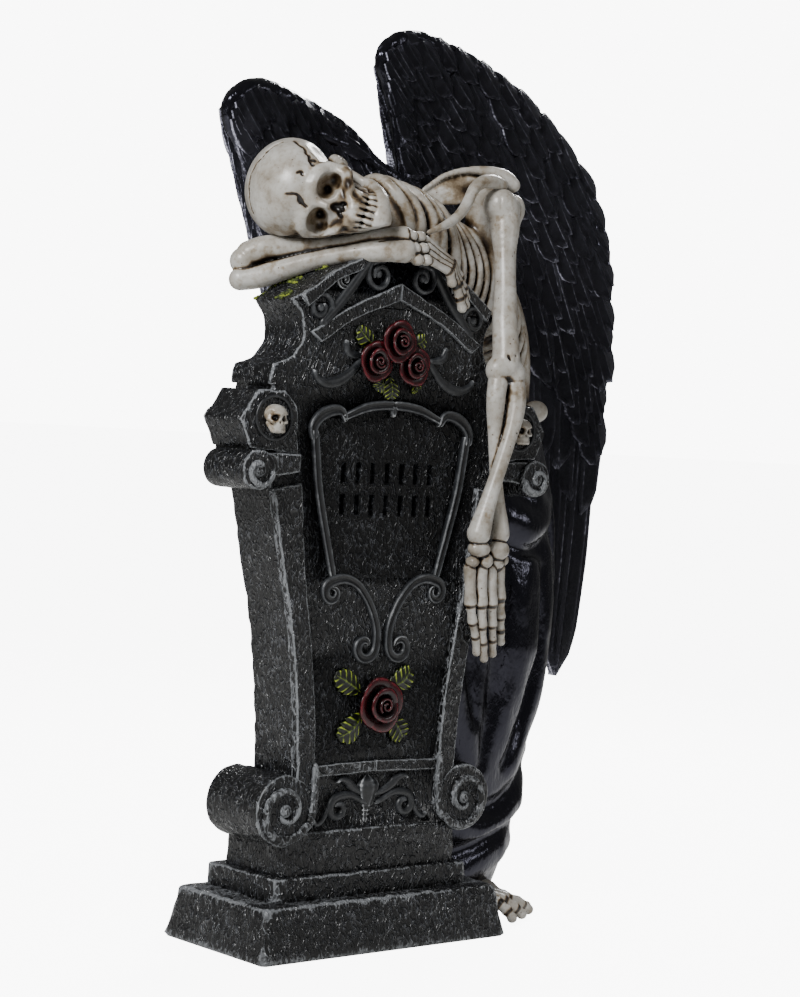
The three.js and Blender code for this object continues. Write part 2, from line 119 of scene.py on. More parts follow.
# The piece's own place, in millimetres
def placeInMm(tree):
    coordinates = addNode(tree, "ShaderNodeTexCoord")
    return addNode(tree, "ShaderNodeVectorMath", {"operation": "SCALE", "in:Scale": 1 / mm},
                   s0=coordinates.outputs["Object"]).outputs[0]


# Noise whose blobs are about one size across, in millimetres
def noiseOf(tree, place, size, detail=3.0, rough=0.55, warp=0.0, output="Fac"):
    return addNode(tree, "ShaderNodeTexNoise", {"in:Scale": 1 / size, "in:Detail": detail,
                   "in:Roughness": rough, "in:Distortion": warp}, Vector=place).outputs[output]


def attributeOf(tree, name):
    return addNode(tree, "ShaderNodeAttribute", {"attribute_name": name}).outputs["Fac"]


# Path and mesh helpers

def curveAt(points, t):  # centripetal Catmull-Rom through the points, t from 0 to 1
    p = np.asarray(points, float)
    t = np.atleast_1d(np.asarray(t, float))
    ends = np.vstack([2 * p[0] - p[1], p, 2 * p[-1] - p[-2]])
    place = np.clip(t, 0, 1) * (len(p) - 1)
    low = np.minimum(place.astype(int), len(p) - 2)
    w = (place - low)[:, None]
    a, b, c, d = (ends[low + i] for i in range(4))
    step = [np.maximum(((v - u) ** 2).sum(1) ** 0.25, 1e-4)[:, None] for u, v in ((a, b), (b, c), (c, d))]
    rise = ((b - a) / step[0] - (c - a) / (step[0] + step[1]) + (c - b) / step[1]) * step[1]
    fall = ((c - b) / step[1] - (d - b) / (step[1] + step[2]) + (d - c) / step[2]) * step[1]
    return b + rise * w + (3 * (c - b) - 2 * rise - fall) * w ** 2 + (2 * (b - c) + rise + fall) * w ** 3


def circle(count):  # angles at equal steps round a circle
    return np.linspace(0, 2 * math.pi, count, endpoint=False)


def drumRing(x, z, r, y, around):  # points round an axis along Y
    return np.stack([x + r * np.cos(around), np.full(len(around), y), z + r * np.sin(around)], 1)


def runOf(points):  # length of the line up to each of its points
    return np.concatenate([[0], np.cumsum(np.linalg.norm(np.diff(points, axis=0), axis=1))])


def evenPath(points, count):  # the same curve at equal steps of length, with the share of each place
    t = np.linspace(0, 1, 20 * len(points))
    fine = curveAt(points, t)
    run = runOf(fine)
    share = np.linspace(0, 1, count)
    return curveAt(points, np.interp(share * run[-1], run, t)), share


def keyed(keys, share):
    return np.interp(share, np.linspace(0, 1, len(keys)), keys)


def unit(v):
    v = np.asarray(v, float)
    return v / np.maximum(np.linalg.norm(v, axis=-1, keepdims=True), 1e-9)


def gridFaces(rows, columns, wrap):  # quads of a rows by columns grid of vertices
    r, c = np.meshgrid(np.arange(rows - 1), np.arange(columns if wrap else columns - 1), indexing="ij")
    n = (c + 1) % columns
    return np.stack([r * columns + c, r * columns + n, (r + 1) * columns + n, (r + 1) * columns + c], -1).reshape(-1, 4)


def tubeMesh(rings):  # closed tube through rings (count, sides, 3), capped at both ends
    count, sides = rings.shape[:2]
    faces = gridFaces(count, sides, True).tolist()
    faces.append(list(range(sides))[::-1])
    faces.append(list(range((count - 1) * sides, count * sides)))
    return rings.reshape(-1, 3), faces


def sheetMesh(front, back):  # closed sheet from two grids (rows, columns, 3); front's faces look out
    rows, columns = front.shape[:2]
    size = rows * columns
    faces = gridFaces(rows, columns, False)
    both = faces.tolist() + (faces[:, ::-1] + size).tolist()
    rim = [r * columns for r in range(rows)] + [(rows - 1) * columns + c for c in range(1, columns)]
    rim += [r * columns + columns - 1 for r in range(rows - 2, -1, -1)] + list(range(columns - 2, 0, -1))
    both += [[rim[i], rim[i - 1], rim[i - 1] + size, rim[i] + size] for i in range(len(rim))]
    return np.concatenate([front.reshape(-1, 3), back.reshape(-1, 3)]), both


def joinedMesh(parts):
    verts, faces, start = [], [], 0
    for v, f in parts:
        verts.append(np.asarray(v, float))
        faces += [[i + start for i in face] for face in f]
        start += len(v)
    return np.concatenate(verts), faces


def linkedObject(name, data):
    made = bpy.data.objects.new(name, data)
    bpy.context.scene.collection.objects.link(made)
    return made


def meshObject(name, verts, faces, material, fixNormals=False, smooth=True):
    made = bpy.data.meshes.new(name)
    made.from_pydata((np.asarray(verts) * mm).tolist(), [], faces if isinstance(faces, list) else faces.tolist())
    if fixNormals:
        work = bmesh.new()
        work.from_mesh(made)
        bmesh.ops.recalc_face_normals(work, faces=work.faces)
        work.to_mesh(made)
        work.free()
    made.polygons.foreach_set("use_smooth", np.full(len(made.polygons), smooth))
    made.materials.append(material)
    made.validate()
    made.update()
    return linkedObject(name, made)


def setAttribute(piece, name, values):
    made = piece.data.attributes.get(name) or piece.data.attributes.new(name, "FLOAT", "POINT")
    made.data.foreach_set("value", np.asarray(values, np.float32))


def positionsOf(piece):
    flat = np.zeros(len(piece.data.vertices) * 3)
    piece.data.vertices.foreach_get("co", flat)
    return flat.reshape(-1, 3) / mm


# How sharply the surface turns at each vertex: above 0 on edges and ridges, below 0 in hollows
def bendOf(piece, smoothing=1):
    mesh = piece.data
    place = positionsOf(piece)
    normal = np.zeros(len(mesh.vertices) * 3)
    mesh.vertex_normals.foreach_get("vector", normal)
    normal = normal.reshape(-1, 3)
    pairs = np.zeros(len(mesh.edges) * 2, int)
    mesh.edges.foreach_get("vertices", pairs)
    a, b = pairs.reshape(-1, 2).T
    gap = place[b] - place[a]
    turn = ((normal[b] - normal[a]) * gap).sum(1) / np.maximum((gap ** 2).sum(1), 1e-6)
    count = np.maximum(np.bincount(a, minlength=len(place)) + np.bincount(b, minlength=len(place)), 1)
    bend = (np.bincount(a, turn, len(place)) + np.bincount(b, turn, len(place))) / count
    for _ in range(smoothing):
        bend = 0.5 * bend + 0.5 * (np.bincount(a, bend[b], len(place)) + np.bincount(b, bend[a], len(place))) / count
    return bend


def waviness(points, size, seed):  # smooth noise from about -1 to 1 at each point
    shift = Vector((seed * 7.31, seed * 3.17, seed * 5.93))
    return np.array([noise.noise(Vector(p) / size + shift) for p in points]) * 1.6


def shoveOf(points, size, seed, shares=(1, 1, 1)):  # a smooth uneven shift of each point, to keep edges off true
    flat = points.reshape(-1, 3)
    shifts = [waviness(flat, size, seed + i) * share if share else 0 * flat[:, 0] for i, share in enumerate(shares)]
    return np.stack(shifts, 1).reshape(points.shape)


def finishPiece(piece):
    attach(piece, "root")
    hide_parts("statue")
    print("made", piece.name, sum(len(p.vertices) - 2 for p in piece.data.polygons), "triangles")


farAway = 9.0  # mm; what is written where nothing is near

# Clay: a block of signed distances that forms are added to and cut from, then skinned.
# Negative inside. Blend is how far a form melts into what is there.
class Clay:
    def __init__(self, low, high, cell):
        self.low = np.array(low, np.float32)
        self.cell = cell
        self.count = np.ceil((np.array(high) - low) / cell).astype(int) + 1
        self.axes = [self.low[i] + cell * np.arange(self.count[i], dtype=np.float32) for i in range(3)]
        self.field = np.full(self.count, farAway, np.float32)

    def block(self, low, high, reach):
        start = np.clip(np.floor((np.asarray(low) - reach - self.low) / self.cell).astype(int), 0, self.count)
        stop = np.clip(np.ceil((np.asarray(high) + reach - self.low) / self.cell).astype(int) + 1, 0, self.count)
        return tuple(slice(a, b) for a, b in zip(start, stop))

    def offsets(self, block, centre):
        x, y, z = (axis[s] - c for axis, s, c in zip(self.axes, block, centre))
        return x[:, None, None], y[None, :, None], z[None, None, :]

    def apply(self, block, distance, blend, cut):
        old = self.field[block]
        new = -distance if cut else distance
        near = np.maximum(blend - np.abs(old - new), 0) if blend > 0 else 0
        soft = near * near / (4 * blend) if blend > 0 else 0
        self.field[block] = np.maximum(old, new) + soft if cut else np.minimum(old, new) - soft

    def ball(self, centre, radii, blend=1.0, cut=False):
        radii = np.asarray(radii, np.float32)
        centre = np.asarray(centre, float)
        block = self.block(centre - radii.max(), centre + radii.max(), blend + 2 * self.cell)
        x, y, z = self.offsets(block, centre)
        scaled = np.sqrt((x / radii[0]) ** 2 + (y / radii[1]) ** 2 + (z / radii[2]) ** 2)
        slope = np.sqrt((x / radii[0] ** 2) ** 2 + (y / radii[1] ** 2) ** 2 + (z / radii[2] ** 2) ** 2)
        self.apply(block, scaled * (scaled - 1) / np.maximum(slope, 1e-4), blend, cut)

    # A round bar along the curve through the points; flat=(direction, share) presses it flatter
    def bar(self, points, radii, blend=1.0, cut=False, steps=None, flat=None):
        points = np.asarray(points, float)
        reach = np.linalg.norm(np.diff(points, axis=0), axis=1).sum()
        steps = steps or max(2, int(reach / 2.2))
        path, share = evenPath(points, steps + 1) if len(points) > 2 else (
            points[0] + (points[1] - points[0]) * np.linspace(0, 1, steps + 1)[:, None], np.linspace(0, 1, steps + 1))
        r = keyed(radii, share)
        edge = max(r) + blend + 2 * self.cell
        block = self.block(path.min(0), path.max(0), edge)
        origin = [s.start for s in block]
        near = np.full([s.stop - s.start for s in block], farAway, np.float32)
        for i in range(steps):
            a, b = path[i], path[i + 1]
            own = self.block(np.minimum(a, b), np.maximum(a, b), edge)
            x, y, z = self.offsets(own, a)
            along = b - a
            t = np.clip((x * along[0] + y * along[1] + z * along[2]) / max(along @ along, 1e-9), 0, 1)
            dx, dy, dz = x - t * along[0], y - t * along[1], z - t * along[2]
            square = dx * dx + dy * dy + dz * dz
            if flat:
                press = dx * flat[0][0] + dy * flat[0][1] + dz * flat[0][2]
                square = square + press * press * (1 / flat[1] ** 2 - 1)
            inner = tuple(slice(s.start - o, s.stop - o) for s, o in zip(own, origin))
            near[inner] = np.minimum(near[inner], np.sqrt(square) - (r[i] + (r[i + 1] - r[i]) * t))
        self.apply(block, near, blend, cut)

    def sample(self, grid, verts):
        place = (verts - self.low) / self.cell
        base = np.clip(np.floor(place).astype(int), 0, self.count - 2)
        w = place - base
        total = np.zeros(len(verts))
        for i in (0, 1):
            for j in (0, 1):
                for k in (0, 1):
                    share = np.abs(1 - i - w[:, 0]) * np.abs(1 - j - w[:, 1]) * np.abs(1 - k - w[:, 2])
                    total += share * grid[base[:, 0] + i, base[:, 1] + j, base[:, 2] + k]
        return total

    # Share of clay within about this many millimetres, less a half: above 0 in hollows
    def hollowness(self, verts, size):
        grid = np.clip(0.5 - self.field / (2 * self.cell), 0, 1)
        half = max(1, int(round(size / self.cell)))
        for axis in (0, 1, 2) * 2:
            padded = np.pad(grid, [(half + 1, half) if i == axis else (0, 0) for i in range(3)], mode="edge")
            run = np.cumsum(padded, axis=axis, dtype=np.float32)
            upper = np.take(run, np.arange(2 * half + 1, run.shape[axis]), axis=axis)
            lower = np.take(run, np.arange(0, run.shape[axis] - 2 * half - 1), axis=axis)
            grid = (upper - lower) / (2 * half + 1)
        return self.sample(grid, verts) - 0.5

    def skin(self, relax=1):
        field = self.field
        inside = field < 0
        n = np.array(field.shape)
        corner = [inside[i:n[0] - 1 + i, j:n[1] - 1 + j, k:n[2] - 1 + k]
                  for i in (0, 1) for j in (0, 1) for k in (0, 1)]
        total = sum(c.astype(np.int8) for c in corner)
        mixed = (total > 0) & (total < 8)
        cells = np.argwhere(mixed)
        index = np.full(mixed.shape, -1)
        index[mixed] = np.arange(len(cells))
        place = np.zeros((len(cells), 3))
        hits = np.zeros(len(cells))
        for axis in range(3):
            for j in (0, 1):
                for k in (0, 1):
                    start = np.zeros(3, int)
                    start[(axis + 1) % 3], start[(axis + 2) % 3] = j, k
                    stop = start.copy()
                    stop[axis] = 1
                    a = field[tuple((cells + start).T)]
                    b = field[tuple((cells + stop).T)]
                    cross = (a < 0) != (b < 0)
                    t = np.where(cross, a / np.where(cross, a - b, 1), 0)
                    point = np.tile(start.astype(float), (len(cells), 1))
                    point[:, axis] = t
                    place += point * cross[:, None]
                    hits += cross
        verts = self.low + (cells + place / hits[:, None]) * self.cell
        quads = []
        for axis in range(3):
            u, v = (axis + 1) % 3, (axis + 2) % 3
            first = np.take(inside, np.arange(n[axis] - 1), axis=axis)
            second = np.take(inside, np.arange(1, n[axis]), axis=axis)
            at = np.argwhere(first != second)
            at = at[(at[:, u] > 0) & (at[:, v] > 0) & (at[:, u] < n[u] - 1) & (at[:, v] < n[v] - 1)]
            du, dv = np.eye(3, dtype=int)[u], np.eye(3, dtype=int)[v]
            quad = np.stack([index[tuple((at - s).T)] for s in (du + dv, dv, 0 * du, du)], 1)
            outward = first[tuple(at.T)]
            quads.append(np.where(outward[:, None], quad, quad[:, ::-1]))
        faces = np.concatenate(quads)
        for _ in range(relax):
            pairs = np.concatenate([faces[:, [i, (i + 1) % 4]] for i in range(4)])
            count = np.bincount(pairs[:, 0], minlength=len(verts))[:, None]
            mean = np.stack([np.bincount(pairs[:, 0], verts[pairs[:, 1], i], len(verts)) for i in range(3)], 1)
            verts = 0.5 * verts + 0.5 * mean / np.maximum(count, 1)
        return verts, faces


print("helpers ready")


# Camera at the photograph's place and angle
cameraValues = {"at": (-519.48, -622.09, 173.16), "yaw": 40.835, "pitch": -1.8, "roll": 3.082, "lens": 87.594}


def buildCamera():
    yaw, pitch, roll = (math.radians(cameraValues[k]) for k in ("yaw", "pitch", "roll"))
    ahead = Vector((math.sin(yaw) * math.cos(pitch), math.cos(yaw) * math.cos(pitch), math.sin(pitch)))
    right = Vector((math.cos(yaw), -math.sin(yaw), 0))
    up = right.cross(ahead)
    across = right * math.cos(roll) + up * math.sin(roll)
    above = up * math.cos(roll) - right * math.sin(roll)
    data = bpy.data.cameras.new("camera")
    data.lens = cameraValues["lens"]
    data.sensor_width = 36
    data.clip_start, data.clip_end = 0.05, 20
    camera = linkedObject("camera", data)
    turn = Matrix((across, above, -ahead)).transposed().to_4x4()
    camera.matrix_world = Matrix.Translation(Vector(cameraValues["at"]) * mm) @ turn
    bpy.context.scene.camera = camera


# Pale floor, a white surround and three soft lamps
studioValues = {
    "floor": "#f4f4f2", "half": 40000, "floorZ": -0.2,  # a hair under the object, so the two never share a plane
    "seen": 9.0,  # brightness of the white behind the object
    "surround": 0.14,  # brightness of the same white as a lamp
    "glow": 8.2,  # brightness of the floor itself to the eye, which hides the horizon
    "lamps": [  # name, place in mm, size in mm, watts
        ("key", (-620, -260, 640), 240, 7.8),
        ("fill", (300, -700, 420), 160, 0.7),
        ("rim", (480, 300, 560), 180, 5.0),
    ],
    "aim": (20, 0, 160),
}


def buildStudio():
    material, tree = newMaterial("pale paper")  # matt, so the floor gives only a soft shadow
    seen = addNode(tree, "ShaderNodeLightPath").outputs["Is Camera Ray"]
    closeMaterial(tree, {"in:Base Color": srgb(studioValues["floor"]), "in:Roughness": 0.9,
                  "in:Emission Color": (1, 1, 1, 1)},
                  Emission_Strength=maths(tree, "MULTIPLY", seen, studioValues["glow"]))
    half, z = studioValues["half"], studioValues["floorZ"]
    floor = meshObject("floor", [(-half, -half, z), (half, -half, z), (half, half, z), (-half, half, z)],
                       [(0, 1, 2, 3)], material, smooth=False)
    world = bpy.data.worlds.new("surround")
    world.use_nodes = True
    tree = world.node_tree
    seen = addNode(tree, "ShaderNodeLightPath").outputs["Is Camera Ray"]
    strength = maths(tree, "ADD", maths(tree, "MULTIPLY", seen, studioValues["seen"] - studioValues["surround"]),
                     studioValues["surround"])
    background = tree.nodes["Background"]
    background.inputs["Color"].default_value = (1, 1, 1, 1)
    tree.links.new(strength, background.inputs["Strength"])
    bpy.context.scene.world = world
    for name, place, size, watts in studioValues["lamps"]:
        data = bpy.data.lights.new(name, "AREA")
        data.energy = watts
        data.size = size * mm
        lamp = linkedObject(name, data)
        at = Vector(place) * mm
        aim = Vector(studioValues["aim"]) * mm - at
        lamp.matrix_world = Matrix.Translation(at) @ aim.to_track_quat("-Z", "Y").to_matrix().to_4x4()


buildCamera()
buildStudio()
print("camera and studio ready")


# Finishes

def paintedStone():
    # Cast resin with a wrinkled, leathery skin in gloss charcoal paint: pale grey rubbed on what stands proud, a
    # painted glint in part on the raised grain, and painted shade in the recesses
    material, tree = newMaterial("charcoal painted resin")
    place = placeInMm(tree)
    drift = noiseOf(tree, place, 16, 2, output="Color")
    moved = addNode(tree, "ShaderNodeVectorMath", {"operation": "MULTIPLY_ADD", "at:1": (6, 6, 6)},
                    s0=drift, s2=place).outputs[0]
    turned = addNode(tree, "ShaderNodeMapping", {"in:Rotation": (0, math.radians(24), 0),
                     "in:Scale": (1.0, 1.0, 0.5)}, Vector=moved).outputs[0]
    folds = noiseOf(tree, turned, 1.7, 1.0, 0.5, 0.6)  # wrinkles a little under 2 mm apart
    ridge = maths(tree, "SUBTRACT", 1.0, maths(tree, "MULTIPLY", maths(tree, "ABSOLUTE",
                  maths(tree, "SUBTRACT", folds, 0.5)), 9.0), clamp=True)
    pores = noiseOf(tree, place, 0.75, 2.0)
    patches = noiseOf(tree, place, 20, 3)
    height = maths(tree, "ADD", maths(tree, "MULTIPLY", ridge, 0.7), maths(tree, "MULTIPLY", pores, 0.35))
    broken = maths(tree, "ADD", height, swing(tree, patches, 0.5, 0.5))
    # lighter on the raised grain: rubbed grey paint and partly a painted glint
    body = colourSteps(tree, broken, [(0.2, "#030304"), (0.6, "#101113"), (0.76, "#232428"), (0.9, "#46484c"),
                                      (1.0, "#7e8186")])
    edge = attributeOf(tree, "edge")
    ragged = maths(tree, "ADD", edge, swing(tree, broken, 0.6, 0.7))
    rub = colourSteps(tree, ragged, [(0.62, "#000000"), (1.0, "#d8d8d8")])
    worn = mixColour(tree, rub, body, "#8f9296")
    # painted shade: near black where the hollow attribute marks a recess
    sunk = mixColour(tree, attributeOf(tree, "hollow"), worn, "#060607")
    bump = addNode(tree, "ShaderNodeBump", {"in:Strength": 1.0, "in:Distance": 0.55 * mm}, Height=height)
    shade = colourSteps(tree, height, [(0.3, "#b0b0b0"), (0.8, "#707070")])
    shine = maths(tree, "SUBTRACT", 0.5, maths(tree, "MULTIPLY", attributeOf(tree, "hollow"), 0.9), clamp=True)
    closeMaterial(tree, {"in:IOR": 1.5}, Base_Color=sunk, Roughness=shade, Specular_IOR_Level=shine,
                  Normal=bump.outputs[0])
    return material


# An attribute that is high on ridges, made uneven by noise of one size
def unevenEdge(tree, place, size, detail, amount, rough=0.55):
    grain = noiseOf(tree, place, size, detail, rough)
    return maths(tree, "ADD", attributeOf(tree, "edge"), swing(tree, grain, 0.5, amount))


def rubbedScroll():
    # The raised scrollwork is smoother than the ground and rubbed to a mid grey along its ridges
    material, tree = newMaterial("grey rubbed resin")
    place = placeInMm(tree)
    colour = colourSteps(tree, unevenEdge(tree, place, 2.2, 4, 0.9, 0.6),
                         [(0.05, "#0c0d0f"), (0.4, "#202225"), (0.75, "#4a4c4f"), (1.0, "#9a9c9e")])
    bump = addNode(tree, "ShaderNodeBump", {"in:Strength": 0.35, "in:Distance": 0.2 * mm},
                   Height=noiseOf(tree, place, 0.8, 3))
    closeMaterial(tree, {"in:Roughness": 0.42, "in:IOR": 1.5}, Base_Color=colour, Normal=bump.outputs[0])
    return material


def washedBone():
    # Ivory paint under a brown wash that stays in joints, pits and hollows, with a satin lacquer; the stain also
    # carries the painted shade that some pieces add
    material, tree = newMaterial("washed ivory resin")
    place = placeInMm(tree)
    mottle = noiseOf(tree, place, 9, 4, 0.6)
    fine = noiseOf(tree, place, 1.6, 4, 0.65)
    hollow = attributeOf(tree, "hollow")
    wash = maths(tree, "ADD", hollow, swing(tree, fine, 0.5, 0.55))
    ivory = colourSteps(tree, mottle, [(0.3, "#857d70"), (0.42, "#a09a90"), (0.54, "#b0ada6"), (0.72, "#c3c1bc")])
    stained = colourSteps(tree, wash, [(0.24, "#ffffff"), (0.4, "#cfc1ae"), (0.56, "#97846b"), (0.74, "#4c3b2a"),
                                       (1.0, "#1d1611")])
    colour = mixColour(tree, 1.0, ivory, stained, "MULTIPLY")
    pits = addNode(tree, "ShaderNodeTexVoronoi", {"in:Scale": 1 / 4.2, "feature": "F1"}, Vector=place)
    pit = colourSteps(tree, pits.outputs["Distance"], [(0.045, "#000000"), (0.075, "#ffffff")])
    dotted = mixColour(tree, pit, "#4b311c", colour)
    bumpHeight = maths(tree, "ADD", maths(tree, "MULTIPLY", fine, 0.5), maths(tree, "MULTIPLY", pit, 0.5))
    bump = addNode(tree, "ShaderNodeBump", {"in:Strength": 0.4, "in:Distance": 0.25 * mm}, Height=bumpHeight)
    closeMaterial(tree, {"in:Roughness": 0.32, "in:IOR": 1.52}, Base_Color=dotted, Normal=bump.outputs[0])
    return material


def glossBlack(name, grain, strength, barbs=False, rubbed="#202020", body=("#050506", "#0b0b0d")):
    # Gloss black lacquer with blue violet brushed on the high places; the same pale marks are partly painted
    # highlights, glints and streaks of sheen
    material, tree = newMaterial(name)
    place = placeInMm(tree)
    drawn = addNode(tree, "ShaderNodeMapping", {"in:Scale": (1.0, 1.0, 1.0 if barbs else 0.4)}, Vector=place).outputs[0]
    height = noiseOf(tree, drawn, grain, 3, 0.55, 0.4)
    edge = attributeOf(tree, "edge")
    if barbs:
        vane = addNode(tree, "ShaderNodeUVMap", {"uv_map": "vane"}).outputs[0]
        across = addNode(tree, "ShaderNodeSeparateXYZ", s0=vane).outputs
        apart = maths(tree, "ABSOLUTE", maths(tree, "SUBTRACT", across["X"], 0.5))
        slant = maths(tree, "ADD", across["Y"], maths(tree, "MULTIPLY", apart, -0.9))
        barbGap = 0.014  # the vane map counts tenths of a metre: 1.4 mm, coarser than real barbs so that they show
        wave = maths(tree, "SINE", maths(tree, "MULTIPLY", slant, 2 * math.pi / barbGap))
        height = maths(tree, "ADD", height, maths(tree, "MULTIPLY", wave, 0.3))
        # thin pale lines along the shaft and the margins: brushed paint and a painted highlight
        side = maths(tree, "ABSOLUTE", maths(tree, "SUBTRACT", maths(tree, "MULTIPLY", across["X"], 2.0), 1.0))
        margin = swing(tree, side, 0.8, 5.0, clamp=True)
        shaft = maths(tree, "SUBTRACT", 1.0, maths(tree, "MULTIPLY", side, 12.0), clamp=True)
        edge = maths(tree, "MULTIPLY", maths(tree, "MAXIMUM", maths(tree, "MAXIMUM", margin, shaft), edge), 0.95)
    # patches where the brushed paint and the painted highlights show; rubbed sets how much shows between them
    patches = colourSteps(tree, noiseOf(tree, place, 26, 3), [(0.42, rubbed), (0.62, "#ffffff")])
    brushAndGlintStreaks = swing(tree, noiseOf(tree, place, 1.5, 4, 0.6), 0.45, 1.6)
    brushedAndGlint = maths(tree, "MULTIPLY", maths(tree, "ADD", edge, brushAndGlintStreaks), patches)
    colour = colourSteps(tree, brushedAndGlint, [(0.2, body[0]), (0.5, body[1]), (0.78, "#4c4c56"), (1.0, "#b4b4c4")])
    bump = addNode(tree, "ShaderNodeBump", {"in:Strength": strength, "in:Distance": 0.5 * mm}, Height=height)
    closeMaterial(tree, {"in:Roughness": 0.28 if barbs else 0.17, "in:IOR": 1.55,
                  "in:Specular Tint": srgb("#e0e0fa")}, Base_Color=colour, Normal=bump.outputs[0])
    return material


# Brush paint over moulded resin: its colours step from the hollows up to the ridges; on the leaves that is rubbed
# paint, on the roses painted shade and a painted highlight
def ridgePaint(name, grain, amount, stops, roughness):
    material, tree = newMaterial(name)
    colour = colourSteps(tree, unevenEdge(tree, placeInMm(tree), grain, 3, amount), stops)
    closeMaterial(tree, {"in:Roughness": roughness, "in:IOR": 1.5}, Base_Color=colour)
    return material


def mossFlock():
    # Painted moss: olive tufts with yellow tips
    material, tree = newMaterial("moss flock")
    colour = colourSteps(tree, noiseOf(tree, placeInMm(tree), 2.5, 3),
                         [(0.35, "#1d2410"), (0.5, "#4d5a1c"), (0.68, "#939f2d")])
    closeMaterial(tree, {"in:Roughness": 0.8}, Base_Color=colour)
    return material


finishes = {
    "stone": paintedStone(),
    "scroll": rubbedScroll(),
    "bone": washedBone(),
    "feather": glossBlack("gloss black feather resin", 1.3, 0.9, barbs=True, rubbed="#c8c8c8",
                          body=("#1a1a1d", "#27272b")),
    "cloth": glossBlack("gloss black cloth resin", 1.5, 0.55),
    # deep red with painted shade, nearly black, in the folds and a painted highlight on the petal lips, under clear
    # lacquer
    "rose": ridgePaint("crimson lacquered resin", 1.4, 0.3,
                       [(0.1, "#030101"), (0.55, "#1c0406"), (0.95, "#380a10"), (1.0, "#641c24")], 0.25),
    # dark green, the veins and margins picked out in yellow green
    "leaf": ridgePaint("green painted resin", 1.2, 0.6,
                       [(0.25, "#080a05"), (0.5, "#1e260c"), (0.75, "#6b7a22"), (1.0, "#a9b53c")], 0.4),
    "moss": mossFlock(),
}
print("finishes ready")


# Gravestone: plates with rounded edges, one over another
stoneValues = {
    "blocks": [  # half width, front and back at the foot and at the top, heights, rounding, roughness, seed
        ((52.5, -28, 26.5), (49.5, -24, 22.5), 0, 17.4, 1.1, 0.45, 3),
        ((41, -18, 19), (41, -18, 19), 15.4, 25, 0.9, 0.35, 8),
        ((37.5, -15.8, 14.2), (37.5, -15.8, 14.2), 23, 39, 0.9, 0.35, 12),
    ],
    "panelFront": -15.2, "slabBack": 6, "apex": 233, "pilasterFront": -17.3, "fieldDepth": 1.0, "budFieldDepth": 0.9,
    "plates": [  # on the +X side: outline, front, back, rounding, roughness, seed; the first is the six-cornered block
        ([(59.2, 181), (66, 171.8), (61.5, 162.8), (42.5, 161.2), (43.8, 176.5), (48.7, 181.2)], -20, 0, 0.7, 0.4, 4),
        ([(43, 158), (60.6, 158), (60.6, 166), (43, 166)], -17.5, -0.2, 0.4, 0.2, 7),
        ([(36, 177), (50, 177), (50.6, 186), (36, 186)], -14.6, -1, 0.4, 0.2, 8),
        ([(42, 155.5), (60, 153.5), (62, 161.5), (42, 161.5)], -21, -1, 0.6, 0.3, 5),
    ],
    "bigRoll": (38.5, 47, 11.5, -17.8, 10), "smallRoll": (59.8, 156, 6.3, -23, -1),  # x, z, radius, front, back
    "outlineStep": 2.0,  # mm between points along a straight edge
}
panelFront = stoneValues["panelFront"]
budFront = panelFront + stoneValues["budFieldDepth"]
flare = curveAt([(34, 60), (35.2, 78), (39, 105), (44.5, 128), (49.5, 150)], np.linspace(0, 1, 17))
cove = curveAt([(50.6, 189.5), (44, 191.6), (39.2, 198), (40, 205), (44, 210.5)], np.linspace(0, 1, 17))


def flip(points, side):
    return [(side * x, z) for x, z in points]


def mirrored(half):  # a point on the middle line stands once
    return [*half, *[(-x, z) for x, z in reversed(half) if abs(x) > 1e-6]]


# Points added along the straight runs of a closed outline, so its edges can wander a little
def dense(outline):
    made = []
    for (x0, z0), (x1, z1) in zip(outline, [*outline[1:], outline[0]]):
        count = max(1, int(math.hypot(x1 - x0, z1 - z0) / stoneValues["outlineStep"]))
        made += [(x0 + (x1 - x0) * i / count, z0 + (z1 - z0) * i / count) for i in range(count)]
    return np.array(made)


def insetOutline(outline, amount):  # moved inwards by the amount, mitred at the corners
    before, after = np.roll(outline, 1, 0), np.roll(outline, -1, 0)
    area = (before[:, 0] * outline[:, 1] - outline[:, 0] * before[:, 1]).sum()
    sign = 1 if area > 0 else -1
    first, second = unit(outline - before), unit(after - outline)
    normals = [np.stack([-d[:, 1], d[:, 0]], 1) * sign for d in (first, second)]
    middle = unit(normals[0] + normals[1])
    stretch = 1 / np.maximum((middle * normals[0]).sum(1), 0.5)
    return outline + middle * (amount * stretch)[:, None]


# A plate cut to an outline in X and Z, its front and back edges rounded and slightly uneven
def platePart(outline, front, back, rounding, rough, seed=1):
    outline = dense(outline)
    before = np.roll(outline, 1, 0)
    if (before[:, 0] * outline[:, 1] - outline[:, 0] * before[:, 1]).sum() < 0:
        outline = outline[::-1]
    corner = [(rounding * (1 - math.sin(a)), rounding * (1 - math.cos(a))) for a in np.radians([0, 22.5, 45, 67.5, 90])]
    steps = front + (back - front) * np.linspace(0.08, 0.92, max(2, int((back - front) / 4)))
    profile = [(rounding * 1.9, front)] + [(inset, front + deep) for inset, deep in corner]
    profile += [(0, y) for y in steps if front + rounding * 1.2 < y < back - rounding * 1.2]
    profile += [(inset, back - deep) for inset, deep in corner[::-1]] + [(rounding * 1.9, back)]
    rings = []
    for inset, y in profile:
        ring = insetOutline(outline, inset)
        rings.append(np.stack([ring[:, 0], np.full(len(ring), y), ring[:, 1]], 1))
    rings = np.array(rings)
    keep = (np.abs(rings[..., 1] - front) > 1e-6) & (np.abs(rings[..., 1] - back) > 1e-6)
    return tubeMesh(rings + shoveOf(rings, 3.2, seed, (1, 0.5, 1)) * (rough * keep)[..., None])


